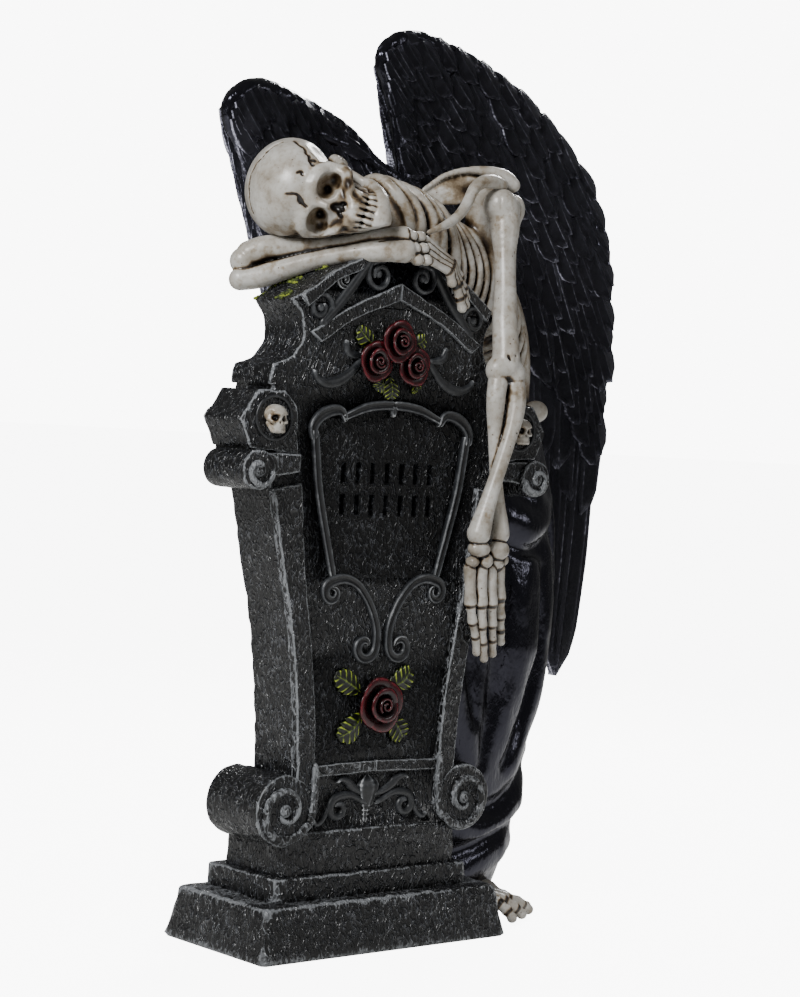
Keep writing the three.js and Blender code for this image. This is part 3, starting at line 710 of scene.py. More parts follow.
# A block whose four sides lean in to its top, rounded all over; its foot is cut back by a bevel
def leaningPart(base, top, low, high, rounding, rough, seed, bevel=0.9):
    def ring(half, front, back):
        points = []
        for x, y in ((-half, front), (half, front), (half, back), (-half, back)):
            sx, sy = (1 if x > 0 else -1), (1 if y > (front + back) / 2 else -1)
            angles = [math.atan2(sy, sx) + (k / 2 - 1) * math.pi / 4 for k in range(5)]
            points += [(x + rounding * (math.cos(a) - sx), y + rounding * (math.sin(a) - sy)) for a in angles]
        return dense(points)

    steps = np.linspace(0, 1, max(3, int((high - low) / 2.5)))
    heights = [(bevel, low)] + [(0, low + bevel + (high - low - bevel - rounding) * s) for s in steps]
    heights += [(rounding * (1 - math.cos(a)), high - rounding * (1 - math.sin(a))) for a in np.radians([30, 60, 90])]
    count = None
    rings = []
    for inset, z in heights:
        half, front, back = (b + (a - b) * (z - low) / (high - low) for a, b in zip(top, base))
        points = ring(half - inset, front + inset, back - inset)
        count = count or len(points)
        closed = np.vstack([points, points[:1]])
        run = runOf(closed)
        at = np.linspace(0, run[-1], count, endpoint=False)
        x, y = (np.interp(at, run, closed[:, k]) for k in (0, 1))
        rings.append(np.stack([x, y, np.full(count, z)], 1))
    rings = np.array(rings)
    keep = rings[..., 2] > low + 0.01
    return tubeMesh(rings + shoveOf(rings, 4, seed, (1, 1, 0.6)) * (rough * keep)[..., None])


# A drum along Y, its ends rounded
def rollPart(x, z, radius, front, back, seed=5):
    around = circle(56)
    profile = [(radius * 0.6, front), (radius - 0.7, front), (radius - 0.2, front + 0.25), (radius, front + 0.8)]
    profile += [(radius, y) for y in np.linspace(front + 2, back - 2, 14)]
    profile += [(radius, back - 0.8), (radius - 0.7, back), (radius * 0.5, back)]
    rings = np.array([drumRing(x, z, r, y, around) for r, y in profile])
    rings += waviness(rings.reshape(-1, 3), 4, seed).reshape(rings.shape[:2])[..., None] * np.array([0.25, 0.1, 0.25])
    return tubeMesh(rings[::-1])


# A raised band along a path on a plane facing -Y; ridges stand at both its margins, as a drawn moulding has
bandProfile = [(-1, -0.6), (-1, 0.45), (-0.86, 0.85), (-0.66, 1.0), (-0.46, 0.82), (-0.25, 0.62), (0, 0.56),
               (0.25, 0.62), (0.46, 0.82), (0.66, 1.0), (0.86, 0.85), (1, 0.45), (1, -0.6)]
plainProfile = [(-1, -0.6), (-0.96, 0.3), (-0.75, 0.7), (-0.4, 0.94), (0, 1.0), (0.4, 0.94), (0.75, 0.7), (0.96, 0.3),
                (1, -0.6)]


def bandPart(path, widths, heights, plane, side=1, steps=60, profile=bandProfile):
    line, share = evenPath([(side * x, z) for x, z in path], steps)
    along = unit(np.gradient(line, axis=0))
    across = np.stack([-along[:, 1], along[:, 0]], 1)
    w, h = keyed(widths, share), keyed(heights, share)
    ends = np.sqrt(np.clip(1 - (np.abs(share - 0.5) * 2) ** 24, 0.02, 1))  # the ends close in a round
    rings = []
    for i in range(steps):
        rings.append([(line[i, 0] + across[i, 0] * u * w[i] * ends[i], plane - v * h[i] * (ends[i] if v > 0 else 1),
                       line[i, 1] + across[i, 1] * u * w[i] * ends[i]) for u, v in profile])
    return tubeMesh(np.array(rings))


def spiral(x, z, outer, inner, start, turns, count):  # start in half turns from +X, turns below 0 run clockwise
    t = np.linspace(0, 1, count)
    angle = (start + turns * 2 * t) * math.pi
    r = outer + (inner - outer) * t
    return list(zip(x + r * np.cos(angle), z + r * np.sin(angle)))


def cutPlate(part, cutters):  # the plate less some prisms, as one closed mesh
    body = meshObject("slab", *part, finishes["stone"], fixNormals=True)
    for outline, front, back in cutters:
        rings = np.array([[(x, y, z) for x, z in outline] for y in (front, back)])
        tool = meshObject("cutter", *tubeMesh(rings), finishes["stone"], fixNormals=True)
        cut = body.modifiers.new("cut", "BOOLEAN")
        cut.operation, cut.solver, cut.object = "DIFFERENCE", "EXACT", tool
        made = bpy.data.meshes.new_from_object(body.evaluated_get(bpy.context.evaluated_depsgraph_get()))
        body.modifiers.clear()
        body.data = made
        bpy.data.objects.remove(tool)
    verts = positionsOf(body)
    faces = [list(f.vertices) for f in body.data.polygons]
    bpy.data.objects.remove(body)
    return verts, faces


def buildGravestone():
    v = stoneValues
    parts = [leaningPart(*block) for block in v["blocks"]]
    outline = mirrored([(34, 31), *flare, (49.5, 183), (51.6, 183), *cove, (41, 212), (28, 221), (0, v["apex"])])
    field = mirrored([(20.5, 121.5), (29.2, 150), (32, 170), (30, 173.2), (20.5, 173.2), (10, 176.5)])
    budField = mirrored([(26.4, 39.2), (26.4, 57)])
    parts.append(cutPlate(platePart(outline, panelFront, v["slabBack"], 0.9, 0.35),
                          [(field, panelFront - 2, panelFront + 3.4), (budField, panelFront - 2, budFront)]))
    inner = curveAt([(38, 152), (35, 125), (29, 90), (26.6, 62), (26.5, 44)], np.linspace(0, 1, 17))
    for side in (-1, 1):
        seed = 20 + side * 3
        strip = flip([(34, 38), *flare, *inner], side)
        parts.append(platePart(strip, v["pilasterFront"], panelFront + 1, 0.6, 0.22, seed))
        # the big roll at the foot: its coil comes down the pilaster's inner edge
        x, z, radius, front, back = v["bigRoll"]
        parts.append(rollPart(side * x, z, radius, front, back))
        coil = [(26.9, 62), (26.9, 50), (28.5, 42.4)] + spiral(x, z, 10.2, 2.4, 1.2, 1.3, 24)
        widths = [1.2, 1.4, 1.5, 1.5, 1.4, 1.3, 1.1]
        parts.append(bandPart(coil, widths, [1, 1.3, 1.6, 1.6], front, side, 110, plainProfile))
        parts.append(coreBoss(side * x, z, 2.2, front, 1.6))
        # six-cornered block, the bar under it and the small roll that ends the bar
        for outline, front, back, rounding, rough, step in v["plates"]:
            parts.append(platePart(flip(outline, side), front, back, rounding, rough, seed + step))
        x, z, radius, front, back = v["smallRoll"]
        parts.append(rollPart(side * x, z, radius, front, back, seed + 6))
        coil = spiral(x, z, 5.5, 1.4, 1, 0.9, 14)
        parts.append(bandPart(coil, [0.9, 1.1, 1.1, 0.9], [1, 1.3, 1.3, 1.2], front, side, 50, plainProfile))
        parts.append(coreBoss(side * x, z, 2.2, front, 1.2))
    # the cross band over the bud, in two lengths that meet in the middle
    for n, band in enumerate(([(-27, 57), (-0.06, 57.6), (-0.06, 61.2), (-27, 60.6)],
                              [(0.06, 57.6), (27, 57), (27, 60.6), (0.06, 61.2)])):
        parts.append(platePart(band, panelFront - 0.9, panelFront + 1, 0.35, 0.2, 31 + n))
    # arch moulding and the rim along the gable
    outer = curveAt([(36.5, 200.5), (22, 209), (0.01, 218.5)], np.linspace(0, 1, 9))
    under = curveAt([(0.01, 213), (19, 205.6), (32.5, 197.4)], np.linspace(0, 1, 9))
    rim = [(41, 212), (28, 221), (0.01, v["apex"]), (0.01, v["apex"] - 4), (27, 217.5), (38.6, 208.5)]
    for side in (-1, 1):
        parts.append(platePart(flip([*outer, *under], side), panelFront - 1.3, panelFront + 1, 0.4, 0.18, 33))
        parts.append(platePart(flip(rim, side), panelFront - 1.6, panelFront + 1, 0.5, 0.25, 35))
    verts, faces = joinedMesh(parts)
    stone = meshObject("gravestone", verts, faces, finishes["stone"], fixNormals=True)
    # pale rubbed edges, most of all on the plinth, and painted shade on the recessed panel and behind the bud
    x, y, z = np.abs(verts[:, 0]), verts[:, 1], verts[:, 2]
    setAttribute(stone, "edge", np.clip(bendOf(stone, 0) * np.where(z < 22, 5.0, 2.4), 0, 1.3))
    behindBud = (y > panelFront + 0.4) & (x < 27) & (y < panelFront + 1.6) & (z > 39.3) & (z < 57)
    panel = (np.abs(y - panelFront) < 0.8) & (x < 36) & (z > 61)
    setAttribute(stone, "hollow", np.where(panel, np.interp(z, [84, 100], [0.34, 0.56]), behindBud * 0.4))
    finishPiece(stone)


def coreBoss(x, z, radius, plane, height):  # the round boss a scroll winds about
    shares = (1.0, 0.97, 0.86, 0.66, 0.4, 0.12)
    rings = [drumRing(x, z, radius * share, plane - height * math.sqrt(max(0, 1 - share * share)) * 0.9, circle(22))
             for share in shares]
    rings.insert(0, rings[0] + np.array([0, 1.0, 0]))
    return tubeMesh(np.array(rings))


# The sunk field inside the frame, with two rows of shallow upright strokes
fieldValues = {
    "rows": (156, 145.5), "perRow": 7, "pitch": 6.2, "width": 2.4, "height": 7, "depth": 1.0, "cell": 0.5,
    "columns": 130, "lip": 0.35,  # the cut throws up a lip this high
}


def buildField():
    v = fieldValues
    zs = np.arange(119.5, 177.6, v["cell"])
    half = np.interp(zs, [119.5, 122, 150, 170, 173, 177.6], [21.5, 21.8, 30.4, 33.2, 31.5, 8])
    x = half[:, None] * np.linspace(-1, 1, v["columns"])
    z = np.repeat(zs[:, None], v["columns"], 1)
    sink = stoneValues["fieldDepth"] * np.clip((z - 121) / 9, 0, 1) ** 1.5 - 0.02
    for row in v["rows"]:
        for i in range(v["perRow"]):
            centre = (i - (v["perRow"] - 1) / 2) * v["pitch"]
            gap = np.maximum(np.abs(x - centre) - v["width"] / 2 + 0.5, np.abs(z - row) - v["height"] / 2 + 0.5)
            sink = sink + v["depth"] / (1 + np.exp((gap - 0.3) / 0.13))
            sink = sink - v["lip"] * np.exp(-((gap - 0.95) / 0.32) ** 2)
    points = np.stack([x, panelFront + sink, z], -1)
    points[..., 1] += 0.12 * waviness(points.reshape(-1, 3), 2.6, 40).reshape(x.shape)
    back = points.copy()
    back[..., 1] = panelFront + 4.2
    verts, faces = sheetMesh(points, back)
    field = meshObject("sunkField", verts, faces, finishes["stone"], fixNormals=True)
    setAttribute(field, "edge", np.clip(bendOf(field, 1) * 1.5, 0, 1.0))
    sunk = verts[:, 1] - panelFront
    deep = np.clip((sunk - stoneValues["fieldDepth"] - 0.25) / 0.5, 0, 1) * (sunk < 3) * (verts[:, 2] > 130)
    # painted shade over the sunk field, darker down in the cut strokes
    setAttribute(field, "hollow", 0.3 + deep * 0.3)
    finishPiece(field)


# Raised scrollwork
def buildScrolls():
    parts = []
    for side in (-1, 1):
        add = lambda path, w, h, plane=panelFront, steps=50, profile=bandProfile: parts.append(
            bandPart(path, w, h, plane, side, steps, profile))
        # frame round the field: straight sides, shoulders with a nick, arch with a nick in the middle
        add([(33, 170), (31.6, 160), (30, 150), (26, 135), (22, 121)], [1.5, 1.5, 1.4], [1.3, 1.2])
        add([(33.2, 166), (33.6, 170), (31, 173.6), (26, 175.8), (22.4, 175.6), (20.2, 172.2)],
            [1.4, 1.9, 2.1, 1.8, 0.7], [1.4, 1.5])
        add([(21.4, 173.6), (17, 175.4), (12, 177.2), (6, 178.2), (-0.3, 178.5)], [1.1, 1.6, 1.6], [1.3, 1.4])
        add([(0, 178), (0.6, 176.4), (0.1, 174.6)], [1.2, 0.9, 0.3], [1.3, 0.8], steps=14, profile=plainProfile)
        # pair of C scrolls under the field
        top = spiral(22.2, 116.9, 3.4, 1.3, 0.35, -0.95, 9)[::-1]
        foot = spiral(7.4, 98.9, 4.6, 1.5, 1.02, 0.98, 12)
        add([*top, (18, 121.4), (12.5, 119.8), (8.4, 116), (4.8, 110.4), (2.7, 104.5), *foot],
            [0.9, 1.6, 1.9, 1.6, 1.5, 1.5, 1.5, 1.7, 1.8, 1.1], [1.3, 1.5, 1.5, 1.6], steps=130)
        # stems that leave the roses
        add([(12, 195.4), (16, 191.6), (20, 187.6), (25, 185), (30, 184.6), (33.4, 186.6), (34.6, 188.6)],
            [0.8, 1.1, 1.5, 1.9, 1.9, 1.5, 0.8], [1, 1.3], profile=plainProfile)
        add([(14, 193.8), (17, 194), (20.4, 195), (21.8, 198.8)], [0.8, 1.3, 1.5, 0.9], [0.9, 1.2], steps=24,
            profile=plainProfile)
        # gable scroll: a spiral at each end and a small curl on its back
        low = spiral(33, 208.6, 5.3, 1.7, -0.55, -1.35, 18)[::-1]
        high = spiral(9.4, 220.6, 5.8, 1.7, 0.6, -1.4, 18)
        add([*low, (26, 209.6), (21.4, 215), (17.2, 220.4), (13.4, 224.6), *high],
            [1.5, 0.95, 0.95, 1.2, 1.8, 2, 1.9, 1.7, 1.2, 0.95, 0.95, 1.5], [1.3, 1.6, 1.9, 1.6], steps=190,
            profile=plainProfile)
        parts.append(coreBoss(side * 33, 208.4, 1.5, panelFront, 1.5))
        parts.append(coreBoss(side * 9.6, 221, 1.5, panelFront, 1.5))
        add([(21.6, 214.6), (23.6, 215.6), *spiral(24.2, 218, 2.2, 0.9, -0.4, 0.85, 8)], [0.7, 0.9, 1], [0.9, 1.1],
            steps=40)
        # scrolls beside the bud
        add([(1.6, 46.6), (5, 48.2), (9, 49.9), (12.6, 50), *spiral(14.2, 45.8, 3.9, 1.2, 0.5, -1.15, 12)],
            [1, 1.3, 1.5, 1.5, 1.3, 1.2], [1.2, 1.5], budFront, 80, plainProfile)
        add([(17.8, 47), (19.2, 44.4), (21, 42), (23, 41.2), (24.4, 42.6)], [0.7, 1, 1, 0.8], [0.8, 1.2], budFront,
            30, plainProfile)
        add([(0.5, 49.8), (5, 50.8), (8.6, 52.8), (10.6, 54.6), (13.6, 55.4), (15.4, 54.4)],
            [0.8, 1.1, 1.4, 1.8, 1.3, 0.5], [1, 1.5], budFront, 36, plainProfile)
    scrolls = meshObject("scrollwork", *joinedMesh(parts), finishes["scroll"], fixNormals=True)
    setAttribute(scrolls, "edge", np.clip(bendOf(scrolls, 1) * 0.7 + 0.1, 0, 1))
    finishPiece(scrolls)


# The fluted bud in the band at the foot: a faceted bulb on a ringed stalk with a pointed end
budValues = {"x": -1.9, "bottom": 40.2, "top": 56.6, "facets": 6}


def buildBud():
    v = budValues
    keys = [(0, 0.2), (0.05, 1), (0.1, 1.4), (0.14, 0.8), (0.18, 1.6), (0.22, 1), (0.27, 1.9), (0.31, 1.2), (0.35, 2.2),
            (0.52, 3.5), (0.7, 4.6), (0.79, 4.7), (0.88, 3.7), (0.95, 2), (1, 0.4)]
    around, shares = circle(48), np.linspace(0, 1, 46)
    step = 2 * math.pi / v["facets"]
    flute = 0.93 / np.cos((around + 0.3) % step - step / 2)
    rings = [np.stack([v["x"] + r * flute * np.cos(around), budFront + 0.3 + 0.55 * r * flute * np.sin(around),
                       np.full(len(around), v["bottom"] + (v["top"] - v["bottom"]) * t)], 1)
             for t, r in zip(shares, np.interp(shares, *zip(*keys)))]
    bud = meshObject("bandBud", *tubeMesh(np.array(rings)), finishes["scroll"], fixNormals=True)
    setAttribute(bud, "edge", np.clip(bendOf(bud, 0) * 1.6 + 0.1, 0, 1.1))
    finishPiece(bud)


buildGravestone()
buildField()
buildScrolls()
buildBud()
print("gravestone made")


# Turns a worked clay block into a bone piece; wash is how strongly hollows are stained, extra adds more stain and, for
# some pieces, painted shade
def bonePiece(name, clay, wash=1.0, turn=None, extra=None):
    verts, faces = clay.skin(1)
    fine = clay.hollowness(verts, 0.9)
    broad = clay.hollowness(verts, 2.4)
    hollow = np.clip(0.22 + (fine * 2.7 + broad * 1.9) * wash, 0, 1.4)
    if extra is not None:
        hollow = hollow + extra(verts)
    placed = verts if turn is None else verts @ turn[0].T + turn[1]
    piece = meshObject(name, placed, faces, finishes["bone"])
    setAttribute(piece, "hollow", np.clip(hollow, 0.24, 1.2))
    finishPiece(piece)


# Skull, worked in its own frame: x to its right, y out of the face, z to the crown
skullValues = {
    "at": (-31.5, 6.5, 247.7), "viewTurn": 32.9, "roll": 11.75, "nod": 13.4,
    "lateral": 16.2, "depth": 19.6, "crown": 14.1, "cell": 0.42, "teeth": 12,
}


def headTurn():
    turn, roll, nod = (math.radians(skullValues[k]) for k in ("viewTurn", "roll", "nod"))
    crown = np.array([-math.cos(turn) * math.cos(nod), math.sin(turn) * math.cos(nod), math.sin(nod)])
    out = np.array([-math.sin(turn), -math.cos(turn), 0])
    down = unit(np.cross(out, crown))
    face = out * math.cos(roll) + down * math.sin(roll)
    right = unit(np.cross(face, crown))
    return np.stack([right, face, crown], 1), np.array(skullValues["at"])


def onCranium(x, z, lift=0.0):  # the point of the cranium's front at that x and z
    v = skullValues
    y = v["depth"] * math.sqrt(max(0.0, 1 - (x / v["lateral"]) ** 2 - (z / v["crown"]) ** 2))
    return (x * (1 + lift / 16), y + lift * y / 16, z * (1 + lift / 16))


def arcOf(points, count):
    return evenPath(points, count)[0]


def bothWays(points):  # a path from the middle outwards, carried over to the other side too
    return [(-x, y, z) for x, y, z in points[:0:-1]] + points


def buildSkull():
    v = skullValues
    clay = Clay((-19, -21.5, -37.5), (19, 25, 18), v["cell"])
    clay.ball((0, 0, 0), (v["lateral"], v["depth"], v["crown"]), 0)
    clay.ball((0, 6.2, -1.8), (14.4, 14, 11.4), 4)
    clay.ball((0, 7, -14), (10.4, 10.6, 8), 4)
    clay.ball((0, 10.2, -20), (7.4, 8, 8.2), 4)
    for s in (-1, 1):  # brow, cheekbone, arch and jaw
        clay.bar([(s * 0.6, 18.8, -6.8), (s * 5, 18.8, -6), (s * 8.8, 16.6, -7), (s * 11, 13.2, -9.8)],
                 [1.5, 2, 2.3, 2.2], 2)
        clay.bar([(s * 11, 13.2, -9.6), (s * 11.2, 13.6, -12), (s * 10.2, 14.2, -14.8)], [2.2, 2.1, 2.7], 1.2)
        clay.bar([(s * 10.6, 13.8, -15), (s * 8.4, 15.8, -17), (s * 5.8, 17.2, -18.4), (s * 4, 18, -19.6)],
                 [2.5, 1.9, 1.7, 1.3], 1.8)
        clay.bar([(s * 10.8, 12.6, -15), (s * 12.2, 6.8, -14.4), (s * 13, 1.5, -13), (s * 12.8, -3, -11.8)],
                 [1.9, 1.3, 1.2, 1.6], 1.2)
        clay.ball((s * 11.8, -2.5, -13.8), (2.4, 3.2, 3), 2)
        clay.bar([(s * 10.8, 0, -15.5), (s * 9.8, 2.4, -20), (s * 8.4, 5.6, -25.8)], [2.2, 2.3, 2.5], 1.5,
                 flat=((1, 0, 0), 0.62))
        clay.bar([(s * 8.4, 5, -25), (s * 7.4, 10.2, -27.6), (s * 4.6, 15, -29.6), (0, 16.8, -30.4)],
                 [2.6, 2.5, 2.7, 3], 1.8)
    clay.ball((0, 16.8, -29.6), (4.4, 2.9, 3), 2)
    clay.bar([(0, 17.8, -7.2), (0, 19.6, -10), (0, 20.8, -12.4)], [1.7, 1.3, 1.1], 1.6)
    clay.bar(bothWays([(0, 18.8, -20.8), (5.2, 15.8, -20.6), (6.9, 11.4, -20.4)]), [2, 2.2, 2.4, 2.2, 2], 1.8)
    clay.bar(bothWays([(0, 17.8, -29), (4.9, 15, -28.6), (6.6, 10.8, -28.2)]), [1.9, 2, 2.2, 2, 1.9], 1.5)
    for s in (-1, 1):  # orbits, temples, cheek hollows and the nose
        for x, y, z, radii, blend in (
                (5.9, 19.4, -10.9, (4.6, 7.8, 3.7), 0.15), (7.3, 18.4, -12.2, (3.4, 6.8, 3), 0.3),
                (4.4, 16.6, -11.4, (2, 6.2, 2), 0.8), (16.8, 7.6, -8.4, (3.8, 6.6, 4.8), 3),
                (9.6, 10.4, -20.8, (3.2, 5.6, 3.2), 2), (1.3, 21.6, -17.2, (1.8, 6, 1.7), 0.5),
                (6.8, 18.8, -20.2, (1.7, 1.9, 1.5), 1.4)):
            clay.ball((s * x, y, z), radii, blend, True)
    clay.ball((0, 22, -15.6), (2.5, 6.6, 3.2), 0.5, True)
    clay.bar(bothWays([(0, 19.8, -24.5), (5.4, 16.4, -24.4), (7.4, 10.6, -24.2)]), [0.45, 0.5, 0.5, 0.5, 0.45], 0.4,
             True)
    lines = []
    for z, out, root in ((-22.7, 0.5, 2.6), (-26.3, 0.2, -2.6)):
        arch = arcOf(bothWays([(0, 19.1 + out, z), (5.7, 15.6, z), (7.2, 10.8, z)]), v["teeth"])
        for i, p in enumerate(arch):
            wide = 1.0 if 4 <= i <= 7 else 0.92
            p = p + (0, 0.14 * math.sin(i * 2.3), 0.2 * math.sin(i * 1.9 + root))
            clay.ball(p, (wide, 1.5, 1.9), 0.05)
            clay.bar([p + (0, -0.3, root * 0.6), p + (0, -0.9, root * 1.8)], [0.72, 0.5], 0.6)
            if i:
                middle = (p + before) / 2 + unit(p * (1, 1, 0)) * 0.8
                lines.append(np.array([middle - (0, 0, 1.3), middle, middle + (0, 0, 1.3)]))
            before = p
    teethLines = len(lines)
    # the seam over the crown, the one at the temple and two cracks on the brow
    crownSeam = [onCranium(x, z, 0.1) for x, z in (
        (10.2, 9.1), (7.7, 10.9), (4.4, 12.2), (1.7, 13), (-1.7, 13.2), (-4.7, 12.6), (-7.9, 11.2), (-11, 9.5),
        (-12.7, 7.9), (-13.9, 6.3))]
    zigzag = arcOf(crownSeam, 30)
    zigzag[:, 2] += 0.55 * np.where(np.arange(30) % 2, 1, -1)
    zigzag[:, 0] += 0.4 * np.sin(np.arange(30) * 1.7)
    lines.append(zigzag)
    for path in (((-15.3, 3), (-14.7, 0.6), (-14.4, -0.6), (-13.2, -1.5), (-12.8, -2.6), (-11.6, -2.9), (-10.6, -4.4)),
                 ((-13.0, -2.2), (-12.0, -3.2), (-11.9, -4.6)),
                 ((0.2, 1.4), (-0.1, 0.4), (-0.6, -1.6), (-0.2, -2.8), (0.8, -4.0), (1.6, -4.6), (2.3, -6.0)),
                 ((-0.2, -2.6), (1.0, -3.0), (1.6, -3.8)),
                 ((-7.1, -0.1), (-7.8, -1.2), (-7.0, -1.8))):
        spots = arcOf([onCranium(x, z) for x, z in path], len(path) * 2)
        down = spots[:, None] + np.array([0, 1, 0]) * np.linspace(6, -4, 41)[:, None]
        first = np.argmax(clay.sample(clay.field, down.reshape(-1, 3)).reshape(-1, 41) < 0, axis=1)
        lines.append(down[np.arange(len(spots)), first])
    for line in lines[teethLines:]:
        clay.bar(line, [0.36, 0.46, 0.6], 0.2, True, steps=len(line) * 2)
    marked = np.concatenate([evenPath(line, len(line) * 6)[0] for line in lines])
    # the cheek is let in over the forearm that it rests on
    turn, at = placing = headTurn()
    bone = (np.array([(-43, 9.4, 225), (-33, 2, 227.8), (-25, -4.2, 228.8), (-15, -12, 231), (-8, -18, 232.8),
                      (-2, -21, 233.8)]) - at) @ turn
    for out in (0, 3.5, 7, 10.5):
        clay.bar(bone + np.array([-0.64, -0.76, 0]) @ turn * out, [3.6, 3.2, 2.9, 3.1, 3.4, 3.6], 0.4, True)

    def inCracks(verts):
        near = np.full(len(verts), farAway)
        for p in marked:
            near = np.minimum(near, np.abs(verts - p).max(1))
        x, y, z = verts.T
        wide = np.abs(x)
        stain = (0.42 + 0.25 * np.clip(wide / 6, 0, 1)) * np.exp(-(((z + 18.5) / 6.5) ** 2)) * (y > 6)
        temple = 0.4 * np.exp(-(((z + 5.5) / 4) ** 2 + ((wide - 13) / 3) ** 2 + ((y - 10) / 6) ** 2))
        # painted shade: the cranium darker on the side that faces down; stain and temple are brown stains
        under = 0.3 * np.clip((x - 9) / 6, 0, 1) * (z > -8)
        orbit = np.exp(-((wide - 6) / 4) ** 4 - ((z + 11) / 3.8) ** 4) * (y > 8)
        stainAndShade = (stain + temple + under) * (0.75 + 0.6 * waviness(verts, 3, 81))
        return np.clip(1 - near / 0.62, 0, 1) * 0.75 + stainAndShade - 0.5 * orbit + 0.07

    bonePiece("skull", clay, turn=placing, extra=inCracks)


# Ribcage, spine and neck over the top of the stone
torsoValues = {
    "path": [(79, 13, 168), (78, 14, 190), (67, 13, 209), (51, 10, 221), (37, 8, 228), (22, 5, 236), (8, 3, 242),
             (-14, 4, 246)],
    "girth": [7, 8, 12.5, 16, 16.5, 14.5, 10.5, 6],
    "ribs": [72, 67.5, 63, 59, 55, 51, 47, 43, 39, 35, 31, 26.5, 21.5, 16, 10.5, 5],  # x of each rib's plane
    "cell": 0.72,
}


def buildTorso():
    v = torsoValues
    clay = Clay((-24, -22, 160), (98, 36, 272), v["cell"])
    line, share = evenPath(v["path"], 61)
    girth = keyed(v["girth"], share)
    clay.bar(line, girth * 0.95, 2, steps=60)
    along = unit(np.gradient(line, axis=0))
    front = unit(np.array([0, -1, 0]) - along * (along @ np.array([0, -1, 0]))[:, None])
    across = np.cross(along, front)
    angles = np.radians(np.linspace(-140, 140, 19))
    for n, x in enumerate(v["ribs"]):
        i = int(np.argmin(np.abs(line[:, 0] - x)))
        r = girth[i]
        upright = unit(np.array([-0.18 - 0.03 * max(n - 7, 0), 0, 1.0]))
        rib = [line[i] + np.array([0.12, -1, 0]) * math.cos(a) * r * 1.03 + upright * math.sin(a) * r * 1.14
               + np.array([0.8 * math.sin(3 * a + n), 0, 0]) for a in angles]
        wide = 1.15 if n < 11 else 1.9
        clay.bar(rib, [wide, wide * 1.1, wide * 1.15, wide * 1.1, wide], 0.6, steps=28)
    # spine behind and vertebrae at the neck
    for i in range(5, 61, 3):
        clay.ball(line[i] - front[i] * girth[i] * 0.92, (2.6, 2.6, 2.6), 1.2)
    for i in range(52, 61, 2):
        clay.bar([line[i] - across[i] * 6, line[i] + across[i] * 6], [2, 2.6, 2], 0.9)
    # shoulder blade: the thin hollow plate, its spine and the acromion
    clay.bar([(48, -2, 253), (45, -1.4, 255.6), (40, 0.8, 254.6), (35, 3, 252.8), (30.5, 5, 251.2), (26.6, 6.4, 250.4)],
             [5.4, 5.6, 6, 5.4, 3.8, 2], 1.4, flat=(unit([-0.4, -0.8, 0.45]), 0.3))
    clay.ball((40, -2.6, 255.4), (6.6, 2.6, 3.8), 1.2, True)
    clay.bar([(55, -8, 256.8), (53.2, -7.4, 258.4), (49.4, -5.5, 260.2), (45.6, -3.5, 260.9), (41.9, -1, 261),
              (37.7, 1.5, 260.1), (33.2, 3.5, 258.2), (29.7, 5, 255.4), (26.6, 6.4, 252.6)],
             [2.6, 2.8, 2.2, 1.6, 1.2, 1.1, 1, 1, 0.9], 1.2)
    # the side of the chest behind the arm
    clay.bar([(45.5, 0, 250), (49, -1.6, 241), (52, -1, 228), (56, 0, 214)], [5, 6.4, 7.5, 8], 2.5)
    clay.ball((83.5, 4, 179.5), (4.6, 4, 4), 1.5)
    # collar bone
    clay.bar([(48, -9.8, 256.2), (43, -10.4, 256.8), (37.9, -11, 256), (33.6, -11.7, 253.2), (30.9, -12.2, 248.8),
              (26.9, -13, 244.2), (21.9, -13.8, 240.8), (16, -14.6, 238.2), (11.2, -15.2, 236.4)],
             [2.3, 2.5, 2.2, 2, 1.9, 1.8, 1.7, 1.3, 0.9], 0.4)

    def underBlade(verts):  # an even stain, with painted shade in the hollow of the shoulder blade
        x, y, z = verts.T
        shade = 0.25 * np.exp(-(((x - 39) / 7) ** 2 + ((z - 254) / 5) ** 2)) * (y > -6)
        return 0.24 + 0.16 * waviness(verts, 6, 82) + shade

    bonePiece("ribcage", clay, 1.1, extra=underBlade)


# Both arms: long bones that swell at their joints, with real gaps where two bones meet
armValues = {"cell": 0.42, "finger": [2.15, 1.75, 1.45, 1.5, 1.9]}


# The ends of the forearm's two bones, and the small bones of the wrist laid beside one another
def wristBones(clay, ends, radius, small, blend):
    bones = [(np.array(a, float), np.array(b, float), radius) for a, b in ends]
    for centre, radii in small:
        clay.ball(centre, radii, blend)
        bones.append((np.array(centre), np.array(centre), np.mean(radii)))
    return bones


def boneLines(bones):  # brown paint run along the lines where two bones of a hand meet
    def extra(verts):
        near = np.full((2, len(verts)), farAway)
        for a, b, r in bones:
            way = b - a
            t = np.clip(((verts - a) @ way) / max(way @ way, 1e-6), 0, 1)
            away = np.linalg.norm(verts - a - t[:, None] * way, axis=1) - r
            near[1] = np.minimum(near[1], np.maximum(near[0], away))
            near[0] = np.minimum(near[0], away)
        stained = 0.05 + 0.3 * np.clip(waviness(verts, 5, 83) + 0.5 * waviness(verts, 1.6, 84), 0, 1)
        return stained + 0.85 * np.exp(-(((near[1] - near[0]) / 0.36) ** 2)) * (near[0] < 1.2)
    return extra


# A row of small bones along a path, each swollen at its ends, with a nick between them
def phalanges(clay, points, radii, bones):
    for i in range(len(points) - 1):
        a, b = np.array(points[i], float), np.array(points[i + 1], float)
        gap = unit(b - a) * 0.45
        r = radii[i]
        bones.append((a + gap, b - gap, r * 0.9))
        clay.bar([a + gap, a * 0.75 + b * 0.25, (a + b) / 2, a * 0.25 + b * 0.75, b - gap],
                 [r * k for k in (1, 0.92, 0.84, 0.92, 1.02)], 0.08)


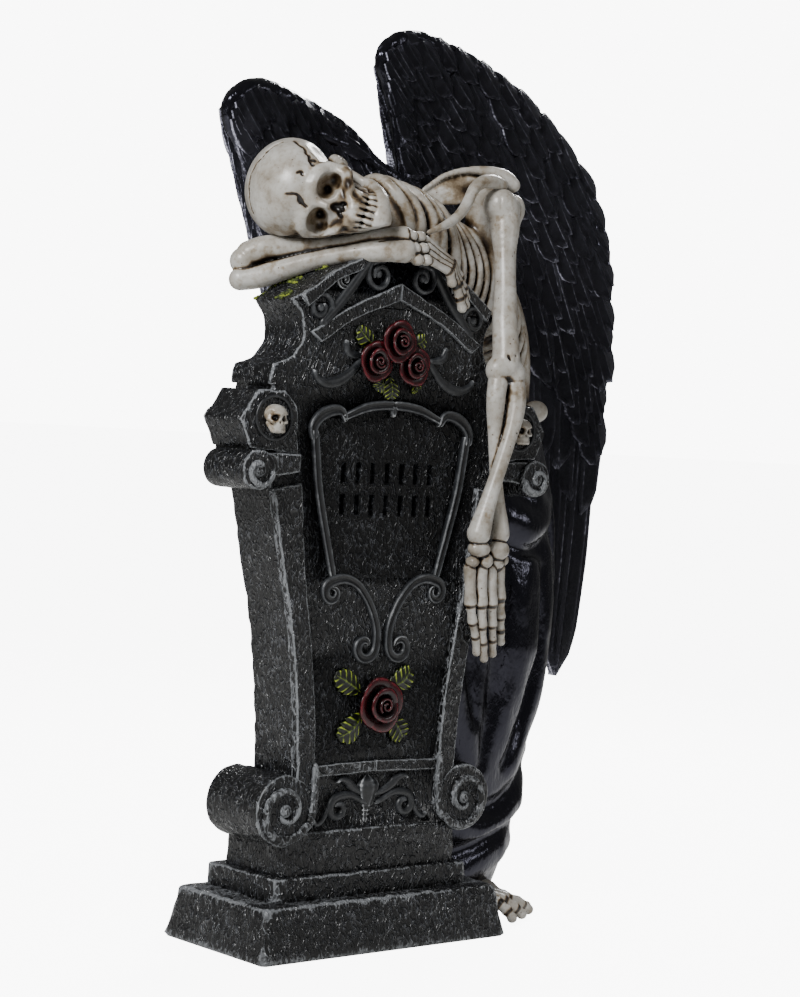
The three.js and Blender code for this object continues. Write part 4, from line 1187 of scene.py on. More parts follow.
def buildLeftArm():
    clay = Clay((22, -36, 88), (64, 0, 264), armValues["cell"])
    clay.ball((48.2, -9.4, 249.2), (5.9, 5.8, 5.9), 1.5)
    clay.ball((56.4, -7.4, 248.4), (3.7, 4.4, 5.4), 0.9)
    clay.bar([(50.4, -9.2, 248), (49.6, -10.8, 243), (48.4, -12.6, 236), (46.9, -15, 227), (45.6, -17.2, 218.6),
              (43.6, -20, 208), (42.6, -22.2, 200), (42, -23.4, 194.4)],
             [5.6, 5, 3.8, 3.6, 3.9, 4.3, 4.5, 4.8], 1.5)
    clay.bar([(55.4, -8.6, 244), (53.6, -10.6, 236), (51.2, -14, 224), (49.4, -17, 212)], [2.6, 1.6, 1.5, 2], 1.2)
    clay.bar([(53.6, -13, 253), (53.4, -13.2, 248), (53.8, -13, 243), (52.8, -13.6, 238)], [0.6, 0.6, 0.5, 0.3], 0.3,
             True)
    clay.ball((38.6, -22.6, 192.4), (3.8, 3.8, 4.4), 1.6)
    clay.ball((45.2, -24, 191.6), (3.9, 4, 4.2), 1.2)
    clay.bar([(39.8, -26.6, 197.6), (40.8, -27, 194.2)], [0.5, 0.6], 0.4, True)
    clay.bar([(41.8, -27.2, 194.4), (42.6, -27, 197.4)], [0.5, 0.5], 0.4, True)
    clay.bar([(44.6, -13.6, 251.6), (44.4, -14.2, 246)], [0.4, 0.3], 0.4, True)
    # the two bones of the forearm
    clay.bar([(45.6, -24.2, 187.2), (45.8, -25.2, 183.6), (44.6, -26.2, 177), (41.6, -26.6, 168), (37.4, -26, 155),
              (34, -25.4, 144), (32.2, -25, 137.2)],
             [3.7, 3.2, 2.6, 2.5, 2.6, 3, 4], 0.3)
    clay.bar([(38.8, -23.2, 188), (38, -23.6, 184), (38.4, -23.2, 176), (39.6, -22.8, 164), (41.2, -23.2, 151),
              (42.6, -23.6, 142), (42.8, -23.8, 137.2)],
             [3.4, 3.1, 2.3, 2, 2.2, 2.5, 3.5], 0.3)
    clay.ball((37.8, -27.4, 182.8), (0.7, 1, 0.9), 0.3, True)
    bones = wristBones(clay, (((33.4, -25.2, 139), (32.4, -25, 136.8)), ((42.6, -23.6, 139), (42.8, -23.8, 136.8))),
                       3.6,
                       (((33, -24.8, 132.2), (4.3, 3.2, 2.9)), ((42, -24.4, 131.8), (4.3, 3.4, 3.6)),
                        ((31.2, -23.8, 127.8), (2.2, 2.6, 1.9)), ((36, -24.8, 128.2), (2.6, 2.9, 2.6)),
                        ((41.6, -23.6, 127.2), (3.6, 2.8, 2)), ((45.6, -23, 128.4), (2, 2.4, 2.2))), 0.18)
    fingers = [
        [(30.8, -23, 125.8), (32.4, -22.6, 113.4), (34.8, -21.6, 107), (37.6, -20.4, 101.8), (40.2, -18.6, 96.2)],
        [(35.2, -24, 126), (36.8, -23.4, 113.2), (38.8, -22.2, 105.6), (41, -20.8, 99.8), (43.2, -19.2, 94)],
        [(39.8, -23.8, 126), (41.4, -23.4, 113.4), (43.4, -22.2, 106), (45.2, -20.8, 100.6), (46.8, -19.4, 95.6)],
        [(44.4, -22.8, 126), (45.8, -22.6, 115.2), (47.4, -21.8, 108.6), (49, -20.6, 103.8), (50.4, -19.4, 99.6)],
    ]
    for path in fingers:
        phalanges(clay, path, armValues["finger"], bones)
    for at, r in (((43.6, -28.2, 171.6), 0.42), ((41.4, -29.0, 164.4), 0.5), ((40.4, -29.0, 161.2), 0.4),
                  ((36.4, -28.6, 147), 0.4), ((49.2, -17.2, 233), 0.4)):
        clay.ball(at, (r, 0.9, r * 1.5), 0.2, True)
    bonePiece("leftArm", clay, 1.4, extra=boneLines(bones))


def buildRightArm():
    clay = Clay((-54, -34, 204), (30, 24, 250), armValues["cell"])
    clay.bar([(6, 17, 240), (-20, 17, 233), (-42, 12.5, 222.5)], [5, 3.6, 4.4], 1)
    clay.ball((-45.4, 10.6, 222.6), (4.4, 4.2, 4.4), 1.2)
    clay.bar([(-43.6, 9.6, 225), (-39.6, 6.6, 227.2), (-33, 2, 227.8), (-25, -4.2, 228.8), (-15, -12, 231),
              (-8, -18, 232.8), (-4.4, -20.6, 233.6)],
             [4.4, 4, 3.2, 2.6, 2.6, 3.1, 3.4], 0.3)
    clay.bar([(-46.8, 9.8, 216.6), (-42.4, 6.4, 217.6), (-36, 2, 220.4), (-28, -4.8, 224), (-18, -13, 227),
              (-9.6, -19.6, 228.6), (-5, -22.4, 228.8)],
             [3.7, 3.8, 3.4, 2.9, 2.9, 3.6, 4], 0.3)
    bones = wristBones(clay, (((-10, -17.6, 232.4), (-5.4, -20.2, 233.4)), ((-10, -19.4, 228.6), (-6, -22, 228.8))),
                       3.2,
                       (((-2.2, -22, 233.8), (2.1, 2.4, 2.1)), ((1.6, -21.8, 234), (2.2, 2.4, 1.9)),
                        ((-1.8, -23.4, 229.8), (2.2, 2.5, 2.1)), ((2.2, -23, 230.2), (2.1, 2.5, 1.9)),
                        ((-1, -24.4, 226.2), (2.3, 2.3, 2)), ((2.8, -24.4, 226.4), (1.9, 2.3, 1.9))), 0.1)
    fingers = [
        [(4.4, -21.4, 233.6), (17.8, -20.4, 227), (21.9, -20, 222.2), (24, -19.8, 218.6), (25.4, -19.6, 215.6)],
        [(4.6, -22.4, 231.2), (16.8, -21.6, 225.8), (20.2, -21.4, 220.4), (22.7, -21, 216.2), (24.6, -20.6, 213)],
        [(4.4, -23.4, 228.8), (15.4, -22.8, 224.6), (18.2, -22.6, 219.2), (20.6, -22, 215.2), (22.6, -21.4, 211.8)],
        [(4, -24.4, 226.4), (13.8, -23.8, 223.4), (15.8, -23.2, 219.6)],
    ]
    for path in fingers:
        phalanges(clay, path, [1.4, 1.7, 1.6, 1.7], bones)
    bonePiece("rightArm", clay, 1.4, extra=boneLines(bones))


def buildFoot():
    clay = Clay((56, -21, -0.4), (98, 20, 32), 0.45)
    bones = []
    toes = [[(60, -6, 9.4), (63, -12.4, 7.2), (65.2, -14.8, 4.8), (66.6, -16, 2.3)],
            [(62.5, -4, 10), (67, -10.6, 7.6), (71.4, -12.2, 4.9), (74.8, -12.3, 2.3)],
            [(65, -1, 10), (72, -7, 7.4), (78.4, -8, 4.8), (82.8, -7.2, 2.3)],
            [(67.5, 2.4, 9.4), (75.6, -1.6, 6.8), (82, -2.4, 4.4), (86.6, -2.2, 2.2)]]
    for toe in toes:
        phalanges(clay, toe, [2.3, 2.05, 1.9], bones)
    clay.bar([(67, 8, 26), (66.4, 8, 16), (66, 7, 9)], [4.2, 3.8, 4.8], 1)
    clay.ball((70, 4, 8), (6, 6, 4.6), 1.5)
    clay.field = np.maximum(clay.field, 0.05 - clay.axes[2][None, None, :])
    bonePiece("foot", clay, 1.3, extra=boneLines(bones))


buildSkull()
buildTorso()
buildLeftArm()
buildRightArm()
buildFoot()
print("skeleton made")


# Robe from the hip to the floor: a body of clay with slanting folds laid over it
robeValues = {
    "x": [58, 60, 60, 61, 63, 66, 69, 73, 78, 80], "y": [18, 17, 16, 16, 16, 15.5, 15, 14.5, 13.5, 13],
    "halfWidth": [20, 27, 31, 32.5, 33.5, 33, 31, 25, 14, 9], "halfDepth": [14, 17, 19, 19.5, 20, 20, 19, 17, 13, 9],
    "height": 180, "cell": 0.96,
}


def robeSurface(angle, z, lift=0.0):  # a point on the robe; angle 0 faces +X and 90 degrees the front
    v = robeValues
    t = z / v["height"]
    c, s = math.cos(math.radians(angle)), math.sin(math.radians(angle))
    rx, ry = keyed(v["halfWidth"], t) + lift, keyed(v["halfDepth"], t) + lift
    return np.array([keyed(v["x"], t) + rx * c, keyed(v["y"], t) - ry * s, z])


def buildRobe():
    v = robeValues
    clay = Clay((20, -14, -1), (104, 46, 192), v["cell"])
    x, y, z = clay.axes[0][:, None, None], clay.axes[1][None, :, None], clay.axes[2][None, None, :]
    t = np.clip(clay.axes[2] / v["height"], 0, 1)
    cx, cy, rx, ry = (keyed(v[k], t)[None, None, :] for k in ("x", "y", "halfWidth", "halfDepth"))
    k0 = np.sqrt(((x - cx) / rx) ** 2 + ((y - cy) / ry) ** 2)
    side = (k0 - 1) * np.minimum(rx, ry)
    clay.field = np.maximum(side, np.maximum(0.4 - z, z - v["height"])).astype(np.float32)
    # folds: (angle, height) points, radii, share sunk into the body; a cut is a crease
    ridges = [
        ([(82, 142), (76, 118), (72, 98), (74, 72), (84, 51)], [4, 8, 9, 6.5, 2.5], 0.5),
        ([(136, 112), (130, 92), (119, 78), (107, 63), (97, 51)], [4, 5.5, 6.5, 5, 2.5], 0.5),
        ([(152, 80), (132, 62), (112, 51)], [3, 5, 3], 0.4),
        ([(44, 128), (42, 100), (44, 76), (58, 54)], [3, 5.5, 5.5, 3], 0.4),
        ([(136, 41), (112, 34), (90, 31.5), (66, 34), (46, 40), (20, 46)], [3, 4.8, 5.4, 4.8, 4, 2.6], 0.4),
        ([(126, 13), (98, 16), (70, 21), (44, 25)], [3, 4.2, 4.2, 3], 0.4),
        ([(118, 146), (90, 140), (62, 141), (36, 148)], [3, 4.6, 4.6, 3], 0.4),
        ([(104, 178), (92, 160), (70, 150)], [3, 4, 2.6], 0.4),
        ([(20, 172), (14, 140), (4, 108), (-14, 84), (-34, 66)], [3, 4.5, 5.5, 4.6, 2.6], 0.4),
        ([(-24, 170), (-34, 130), (-46, 92), (-62, 56), (-80, 26)], [3, 5, 6, 5, 3], 0.4),
        ([(-76, 170), (-82, 130), (-92, 90), (-102, 50), (-108, 14)], [3, 5, 6, 5.5, 4], 0.4),
        ([(-130, 170), (-130, 120), (-136, 70), (-142, 20)], [3, 5, 5.5, 4], 0.4),
        ([(170, 120), (172, 80), (176, 40)], [3, 4.4, 4], 0.4),
        ([(14, 58), (-14, 44), (-44, 34), (-74, 28)], [2, 3.8, 4, 2.6], 0.4),
    ]
    creases = [
        ([(99, 126), (94, 100), (91, 78), (93, 55)], [0.8, 2.4, 3, 1.4]),
        ([(59, 124), (57, 98), (59, 76), (72, 54)], [0.8, 2.2, 2.4, 1.4]),
        ([(134, 54), (113, 44), (92, 39.5), (72, 41), (52, 47), (30, 54)], [1.4, 3, 3.4, 3, 2, 1]),
        ([(132, 20), (112, 23.5), (92, 26), (70, 29.5), (50, 33), (28, 36)], [1.2, 2.4, 2.6, 2.4, 1.6, 0.8]),
        ([(108, 134), (88, 130.5), (68, 131), (46, 137)], [0.8, 2, 2.4, 1.2]),
        ([(124, 104), (112, 86), (102, 70)], [0.6, 1.4, 0.8]),
        ([(28, 150), (24, 112), (14, 84)], [1, 2.4, 1.2]),
        ([(-4, 160), (-10, 124), (-26, 90), (-46, 62)], [1.2, 2.8, 3, 1.6]),
        ([(-52, 160), (-60, 110), (-74, 66), (-90, 26)], [1.2, 3, 3.4, 2]),
        ([(-104, 160), (-108, 110), (-116, 66), (-122, 20)], [1.2, 3, 3.2, 2]),
    ]
    for path, radii, sunk in ridges:
        clay.bar([robeSurface(a, h, -max(radii) * sunk) for a, h in path], radii, 5.5, steps=26)
    for path, radii in creases:
        clay.bar([robeSurface(a, h, 1.4) for a, h in path], radii, 2.6, True, steps=26)
    # cut flat a little above the floor
    clay.field = np.maximum(clay.field, 0.3 - z)
    verts, faces = clay.skin(2)
    robe = meshObject("robe", verts, faces, finishes["cloth"])
    verts = verts + shoveOf(verts * (1, 1, 0.4), 6, 41, (1, 1, 0)) * 0.35
    robe.data.vertices.foreach_set("co", (verts * mm).astype(np.float32).ravel())
    # brushed violet paint and a painted highlight along the fold ridges
    setAttribute(robe, "edge", np.clip(-clay.hollowness(verts, 2.0) * 2.0 - 0.1, 0, 1))
    finishPiece(robe)


# Wings: a thick sheet between a leading edge and the feather tips, shingled with feathers on both faces
wingValues = {
    "right": {
        "lead": [(34, 26, 256), (29, 29, 287), (25, 30, 299.5), (33, 30, 307), (58, 30, 305.5), (88, 30, 295),
                 (116.5, 29, 275), (129.5, 28, 248)],
        "trail": [(56, 40, 168), (74, 40, 132), (99, 38, 113), (120, 35, 98.5), (133, 33, 80)],
        "bow": 5.5, "arm": [(36, 26, 256), (34, 29, 283), (33, 30, 302)],
    },
    "left": {
        "lead": [(30, 27, 254.6), (12, 34, 273), (-10, 35, 280), (-27, 35, 282), (-35, 36, 275), (-29, 37, 262),
                 (-19, 38, 246)],
        "trail": [(54, 41, 170), (52, 41, 150), (47, 41, 130), (42, 40, 110), (34, 39, 92)],
        "bow": -2, "arm": [(36, 26, 256), (10, 33, 268), (-26, 35, 275)],
    },
    "primaries": 11, "secondaries": 13, "rows": 11, "perRow": 19, "rowsFrom": 0, "rowsTo": 0.42,
    "scaleLength": 13.5, "scaleWidth": 7.8, "growth": 0.45, "jitter": 0.16, "seed": 5,
    "sizeVariation": 0.14, "sizeSeed": 7,
    "edgeLength": 17, "edgeHalf": 4.4,
}
wingValues["right"].update(rim=[1.2, 1.8, 2.8, 3.3, 2.9, 2.0, 1.5, 1.2, 1.0], armRadii=[2.2, 2.4, 2.6],
                           edges=[(0.3, 0.98, 1)], edgeCount=27, slant=[0.8, 0.1], slantTo=(0.95, 0, -0.3))
wingValues["left"].update(rim=[1.2, 1.5, 2.2, 3.2, 4.0, 4.0, 2.8, 1.8, 1.2], armRadii=[2.6, 3.0, 3.4],
                          edges=[(0.48, 0.2, -1)], edgeCount=30, slant=[0.7, 0.0], slantTo=(0.8, 0, -0.6))


def wingPoint(shape, across, reach):
    across, reach = np.broadcast_arrays(np.asarray(across, float), np.asarray(reach, float))
    lead = curveAt(shape["lead"], across.ravel()).reshape(across.shape + (3,))
    trail = curveAt(shape["trail"], across.ravel()).reshape(across.shape + (3,))
    made = lead + (trail - lead) * reach[..., None]
    made[..., 0] += shape["bow"] * across * np.sin(math.pi * reach)
    return made


wingRows = [0, 0.07, 0.24, 0.26, 0.38, 0.5, 0.53, 0.76, 1]
wingThick = [2.2, 3.4, 2.4, 1.8, 1.7, 1.6, 1.0, 0.8, 0.5]


# One feather laid along a line; face is -1 on the front and 1 on the back, and across points to its side
def bladePart(middle, across, half, thick, face, lift, columns=9):
    rows = len(middle)
    v, u = np.linspace(0, 1, rows), np.linspace(-1, 1, columns)
    width = half * np.interp(v, [0, 0.15, 0.6, 0.85, 0.94, 0.985, 1], [0.75, 0.92, 1.0, 0.86, 0.6, 0.3, 0.05])
    points = middle[:, None] + across[:, None] * (u[None, :] * width[:, None])[..., None]
    crown = 0.5 * (1 - np.abs(u[None, :]) ** 1.4) + 0.4 * np.exp(-(u[None, :] / 0.13) ** 2)
    height = thick[:, None] + lift[0] + (lift[1] - lift[0]) * v[:, None] ** 1.2 + crown + 0.35 * u[None, :]
    front, back = points.copy(), points.copy()
    front[..., 1] += face * height
    back[..., 1] += face * (thick[:, None] - 0.6)
    length = np.linalg.norm(middle[-1] - middle[0]) / 100  # vane map in tenths of a metre
    uv = np.stack(np.broadcast_arrays(u[None, :] * 0.5 + 0.5, v[:, None] * length), -1)
    return front, back, uv


def featherPart(shape, centre, start, stop, half, face, lift, rows=22):
    reach = np.linspace(start, stop, rows)
    middle = wingPoint(shape, np.full(rows, centre), reach)
    along = unit(np.gradient(middle, axis=0))
    beside = wingPoint(shape, np.full(rows, centre + 0.01), reach) - middle
    beside = beside - along * np.sum(beside * along, axis=1)[:, None]
    return bladePart(middle, unit(beside), half, np.interp(reach, wingRows, wingThick), face, lift)


# A short feather lying along the leading edge, its tip standing a little out of the outline
def edgeFeather(shape, start, way, face):
    v = wingValues
    rim = curveAt(shape["lead"], np.linspace(0, 1, 241))
    run = runOf(rim)
    here = np.interp(start, np.linspace(0, 1, 241), run)
    at = here + way * np.linspace(0, v["edgeLength"], 11)
    middle = np.stack([np.interp(at, run, rim[:, k]) for k in range(3)], 1)
    tangent = unit(np.gradient(middle, axis=0))
    inward = wingPoint(shape, start, 0.12) - wingPoint(shape, start, 0.0)
    side = unit(np.cross(tangent, (0, 1, 0)))
    side = side * np.sign(side @ inward)[:, None]
    out = np.linspace(-0.8, 2.0, 11)
    middle = middle + side * (v["edgeHalf"] * 0.75 - out[:, None])
    return bladePart(middle, side, v["edgeHalf"], np.full(11, 2.2), face, (0.1, 1.0), 7)


def featherMesh(name, sheets, material):
    parts = [sheetMesh(front, back) for front, back, _ in sheets]
    piece = meshObject(name, *joinedMesh(parts), material, fixNormals=True)
    uvs = np.concatenate([np.tile(uv.reshape(-1, 2), (2, 1)) for _, _, uv in sheets])
    loops = np.zeros(len(piece.data.loops), int)
    piece.data.loops.foreach_get("vertex_index", loops)
    ends = [np.repeat(np.clip(np.linspace(-6, 1, front.shape[0]), 0, 1), front.shape[1]) for front, _, _ in sheets]
    setAttribute(piece, "edge", np.concatenate([np.tile(end, 2) for end in ends]))  # rubbed paint and a painted highlight at the tips
    layer = piece.data.uv_layers.new(name="vane")
    layer.data.foreach_set("uv", uvs[loops].astype(np.float32).ravel())
    return piece


# A new Geometry Nodes tree with named inputs; also gives the outputs of its group input
def newTree(name, floats):
    tree = bpy.data.node_groups.new(name, "GeometryNodeTree")
    for label, way, kind in (("Geometry", "INPUT", "Geometry"), *((label, "INPUT", "Float") for label in floats),
                             ("Seed", "INPUT", "Int"), ("Geometry", "OUTPUT", "Geometry")):
        tree.interface.new_socket(label, in_out=way, socket_type="NodeSocket" + kind)
    return tree, addNode(tree, "NodeGroupInput").outputs


# Sets an object on every point, its size varied at random, makes the copies real, paints them and ends the tree
def setOnPoints(tree, given, points, rotation, source, material, grown=None):
    vary = addNode(tree, "FunctionNodeRandomValue", {"data_type": "FLOAT"})
    tree.links.new(maths(tree, "SUBTRACT", 1.0, given["Size variation"]), vary.inputs[2])
    tree.links.new(maths(tree, "ADD", 1.0, given["Size variation"]), vary.inputs[3])
    tree.links.new(given["Seed"], vary.inputs["Seed"])
    size = maths(tree, "MULTIPLY", given["Size"], vary.outputs[1])
    if grown is not None:
        size = maths(tree, "MULTIPLY", size, grown)
    copied = addNode(tree, "GeometryNodeObjectInfo")
    copied.inputs["Object"].default_value = source
    placed = addNode(tree, "GeometryNodeInstanceOnPoints", Points=points, Instance=copied.outputs["Geometry"],
                     Rotation=rotation, Scale=size)
    plain = addNode(tree, "GeometryNodeRealizeInstances", Geometry=placed.outputs[0])
    painted = addNode(tree, "GeometryNodeSetMaterial", {"in:Material": material}, Geometry=plain.outputs[0])
    result = addNode(tree, "NodeGroupOutput")
    tree.links.new(painted.outputs[0], result.inputs[0])
    return tree


# Geometry Nodes: one small scale feather set on every point, turned and sized by the point's attributes
def scaleTree(feather, material):
    tree, given = newTree("scale feathers", ("Size", "Size variation"))
    turn = addNode(tree, "GeometryNodeInputNamedAttribute", {"data_type": "FLOAT_VECTOR", "in:Name": "turn"})
    grown = addNode(tree, "GeometryNodeInputNamedAttribute", {"data_type": "FLOAT", "in:Name": "grown"})
    return setOnPoints(tree, given, given["Geometry"], turn.outputs[0], feather, material, grown.outputs[0])


# Runs a Geometry Nodes tree on an object and keeps the result as its plain mesh
def grow(piece, tree, values):
    modifier = piece.modifiers.new("grow", "NODES")
    modifier.node_group = tree
    sockets = {item.name: item.identifier for item in tree.interface.items_tree if item.in_out == "INPUT"}
    for name, value in values.items():
        modifier[sockets[name]] = value
    made = bpy.data.meshes.new_from_object(piece.evaluated_get(bpy.context.evaluated_depsgraph_get()))
    piece.modifiers.clear()
    piece.data = made
    made.name = piece.name
    made.polygons.foreach_set("use_smooth", np.full(len(made.polygons), True))


def scaleFeather():  # root at the origin, pointing along +Y, its face up +Z
    v = wingValues
    rows, columns = 6, 5
    t, u = np.linspace(0, 1, rows), np.linspace(-1, 1, columns)
    width = 0.5 * np.interp(t, [0, 0.3, 0.65, 0.88, 1], [0.5, 0.9, 1.0, 0.72, 0.16])
    x = width[:, None] * u[None, :]
    y = np.repeat(t[:, None], columns, 1) * (v["scaleLength"] / v["scaleWidth"])
    crown = 0.1 * (1 - u[None, :] ** 2) + 0.05 * np.exp(-(u[None, :] / 0.2) ** 2)
    z = 0.02 + 0.17 * t[:, None] ** 1.3 + crown
    front = np.stack([x, y, z + 0 * x], -1)
    back = front.copy()
    back[..., 2] = -0.08
    uv = np.stack(np.broadcast_arrays(u[None, :] * 0.5 + 0.5, t[:, None] * 0.15), -1)
    return featherMesh("scaleSource", [(front / mm, back / mm, uv)], finishes["feather"])


def buildWing(name):
    v = wingValues
    shape = v[name]
    a, r = np.linspace(0, 1, 61), np.linspace(0, 0.955, 60)
    sheet = wingPoint(shape, a[None, :], r[:, None])
    half = np.interp(r, wingRows, wingThick)[:, None] - 0.35
    front, back = sheet.copy(), sheet.copy()
    front[..., 1] -= half
    back[..., 1] += half
    sheets = [(front, back, np.full(sheet.shape[:2] + (2,), 0.25))]

    # a fan of long feathers side by side; each is wide where the wing is, measured at one share of its reach
    def fan(face, count, start, stop, every, measured, share, least, lift, rows=22):
        for i in range(count):
            centre, half = (i + 0.5) / count, 0.5 / count
            span = np.linalg.norm(wingPoint(shape, centre + half, measured) - wingPoint(shape, centre - half, measured))
            wide = max(span * share, least)
            sheets.append(featherPart(shape, centre, start, stop + every * (i % 2), wide, face, lift, rows))

    for face in (-1, 1):
        fan(face, v["primaries"], 0.4, 1.0, 0.006, 0.9, 0.66, 4.2, (0.0, 0.5))
        sheets.append(featherPart(shape, 0.915, 0.36, 1.035, 6.6, face, (0.9, 1.0)))  # the long outer feather
        fan(face, v["secondaries"], 0.3, 0.66, 0.02, 0.6, 0.72, 4, (0.4, 1.1), 14)
    for low, high, way in shape["edges"]:
        for start in np.linspace(low, high, int(round(abs(high - low) * shape["edgeCount"]))):
            for face in (-1, 1):
                sheets.append(edgeFeather(shape, start, way, face))
    long = featherMesh(name + "WingFeathers", sheets, finishes["feather"])
    finishPiece(long)
    # points for the scale feathers, in staggered and slightly unruly rows on both faces
    points, turns, grown = [], [], []
    chance = np.random.default_rng(v["seed"])
    for face in (-1, 1):
        for k, reach in enumerate(np.linspace(v["rowsFrom"], v["rowsTo"], v["rows"])):
            for i in range(v["perRow"] + 1):
                shift = chance.uniform(-1, 1, 3) * v["jitter"]
                across = (i + 0.5 * (k % 2) + shift[0]) / (v["perRow"] + 0.5)
                if not 0 <= across <= 1:
                    continue
                low = reach + shift[1] * 0.04
                here = wingPoint(shape, across, low)
                slant = np.interp(low, [v["rowsFrom"], v["rowsTo"]], shape["slant"]) + shift[2]
                down = unit(unit(wingPoint(shape, across, low + 0.05) - here) + np.array(shape["slantTo"]) * slant)
                x = unit(np.cross(down, np.array([0, face, 0])))
                out = unit(np.cross(x, down))
                swell = keyed(shape["rim"], across) * 0.4 * math.exp(-(low / 0.04) ** 2)
                thick = np.interp(low, wingRows, wingThick) + swell
                points.append(here + np.array([0, face * (thick - 0.15), 0]))
                turns.append(Matrix(np.stack([x, down, out], 1).tolist()).to_euler())
                grown.append((0.8 + 0.4 * across) * (1 + v["growth"] * k / v["rows"]))
    mesh = bpy.data.meshes.new(name + "WingScales")
    mesh.from_pydata((np.array(points) * mm).tolist(), [], [])
    turned = mesh.attributes.new("turn", "FLOAT_VECTOR", "POINT")
    turned.data.foreach_set("vector", np.array([list(e) for e in turns], np.float32).ravel())
    mesh.attributes.new("grown", "FLOAT", "POINT").data.foreach_set("value", np.array(grown, np.float32))
    scales = linkedObject(name + "WingScales", mesh)
    source = scaleFeather()
    grow(scales, scaleTree(source, finishes["feather"]),
         {"Size": v["scaleWidth"] * mm, "Size variation": v["sizeVariation"], "Seed": v["sizeSeed"]})
    bpy.data.objects.remove(source)
    finishPiece(scales)
    # rounded arm along the leading edge
    low, high = sheet.reshape(-1, 3).min(0) - 9, sheet.reshape(-1, 3).max(0) + 9
    clay = Clay((low[0], 18, 240), (high[0], 48, high[2] + 2), 0.8)
    clay.bar(shape["arm"], shape["armRadii"], 2)
    clay.bar(curveAt(shape["lead"], np.linspace(0, 1, 30)), shape["rim"], 3, steps=60)
    verts, faces = clay.skin(2)
    verts = verts + shoveOf(verts, 3.5, 51) * 0.3
    arm = meshObject(name + "WingArm", verts, faces, finishes["cloth"])
    # brushed violet paint and a painted highlight on the rounded ridges
    setAttribute(arm, "edge", np.clip(-clay.hollowness(verts, 1.6) * 2.5, 0, 1))
    finishPiece(arm)


buildRobe()
buildWing("right")
buildWing("left")
print("robe and wings made")


# Small skulls in dark rings on the two hexagonal blocks
medallionValues = {
    "places": [(-53, 172.4), (53, 172.4)], "front": -20.0, "size": (0.92, 0.86, 0.77), "cell": 0.25,
    "ring": 6.9, "wire": 0.6,
}


def buildMedallions():
    v = medallionValues
    for n, (x, z) in enumerate(v["places"]):
        y = v["front"]
        clay = Clay((x - 6, y - 6.2, z - 7.4), (x + 6, y + 1.2, z + 6.8), v["cell"])
        clay.ball((x, y - 0.4, z + 1.5), (4.3, 4.6, 4.1), 0)
        clay.ball((x, y - 1, z - 2.8), (2.7, 3.6, 3), 1)
        for s in (-1, 1):
            clay.bar([(x + s * 3.5, y - 1.6, z - 0.6), (x + s * 2.6, y - 3.4, z - 1.5)], [0.8, 0.9], 0.7)
            clay.bar([(x + s * 3.1, y - 1, z - 2.2), (x + s * 2.2, y - 2.6, z - 5.2)], [0.9, 0.9], 0.5)
        clay.ball((x, y - 2.6, z - 5.2), (2.2, 1.5, 1.1), 0.7)
        clay.bar([(x - 2.7, y - 3.7, z + 1.9), (x, y - 4.4, z + 1.7), (x + 2.7, y - 3.7, z + 1.9)], [0.6, 0.7, 0.6],
                 0.6)
        for s in (-1, 1):
            clay.ball((x + s * 1.85, y - 4.4, z), (1.5, 2.4, 1.45), 0.3, True)
            clay.ball((x + s * 3.9, y - 3.4, z + 1.9), (0.9, 1.6, 1.5), 0.8, True)
        clay.ball((x, y - 4.6, z - 1.8), (0.55, 1.2, 0.8), 0.25, True)
        clay.bar([(x - 1.9, y - 4.2, z - 4), (x, y - 4.7, z - 4.1), (x + 1.9, y - 4.2, z - 4)], [0.25, 0.3, 0.25],
                 0.2, True)
        for i in range(-2, 3):
            clay.bar([(x + i * 0.75, y - 4.7 + abs(i) * 0.2, z - 2.8), (x + i * 0.75, y - 4.5 + abs(i) * 0.2, z - 5.2)],
                     [0.14, 0.14], 0.15, True)
        name = "medallionSkull" + "LR"[n]
        shrunk = np.array([x, y, z]) * (1 - np.array(v["size"]))

        def shaded(verts):  # a brown stain down its left side, and painted shade in the eye sockets
            away = verts[:, 0] - x
            sockets = np.exp(-((np.abs(away) - 1.9) / 1.3) ** 2 - ((verts[:, 2] - z) / 1.3) ** 2)
            return 0.45 * np.clip((0.4 - away) / 3.2, 0, 1) ** 0.7 + 0.9 * sockets - 0.1

        bonePiece(name, clay, 1.3, turn=(np.diag(v["size"]), shrunk), extra=shaded)
        rounds, wires = 48, 12  # points round the ring and round its wire
        turns, sides = circle(rounds), circle(wires)
        out = np.stack([np.cos(turns), 0 * turns, np.sin(turns)], 1)
        ring = (np.array([x, y - 0.2, z]) + out * v["ring"])[:, None] + (out[:, None] * np.cos(sides)[None, :, None]
               + np.array([0, -1, 0]) * np.sin(sides)[None, :, None]) * v["wire"]
        i, j = np.meshgrid(np.arange(rounds), np.arange(wires), indexing="ij")
        up, on = (i + 1) % rounds * wires, (j + 1) % wires
        faces = np.stack([up + j, up + on, i * wires + on, i * wires + j], -1).reshape(-1, 4)
        verts = ring.reshape(-1, 3)  # a ring pressed out of true
        verts = verts + shoveOf(verts, 3, 61) * 0.12
        hoop = meshObject("medallionRing" + "LR"[n], verts, faces, finishes["scroll"], fixNormals=True)
        setAttribute(hoop, "edge", np.clip((v["front"] - verts[:, 1]) / v["wire"] * 0.25, 0, 1))
        finishPiece(hoop)


# Roses: a rolled heart, a ring of upright petals and a ring of open ones
roseValues = {
    "roses": [  # x, z, radius, turn in degrees and lift off the panel
        (-1.4, 80, 9.4, 20, 0), (-2.4, 199.4, 7.2, 75, 1.6), (-11, 192.4, 6.9, 160, 0.6), (5.4, 191.8, 6.9, 300, 0.6)],
    "plane": panelFront, "thickness": 0.8,
}


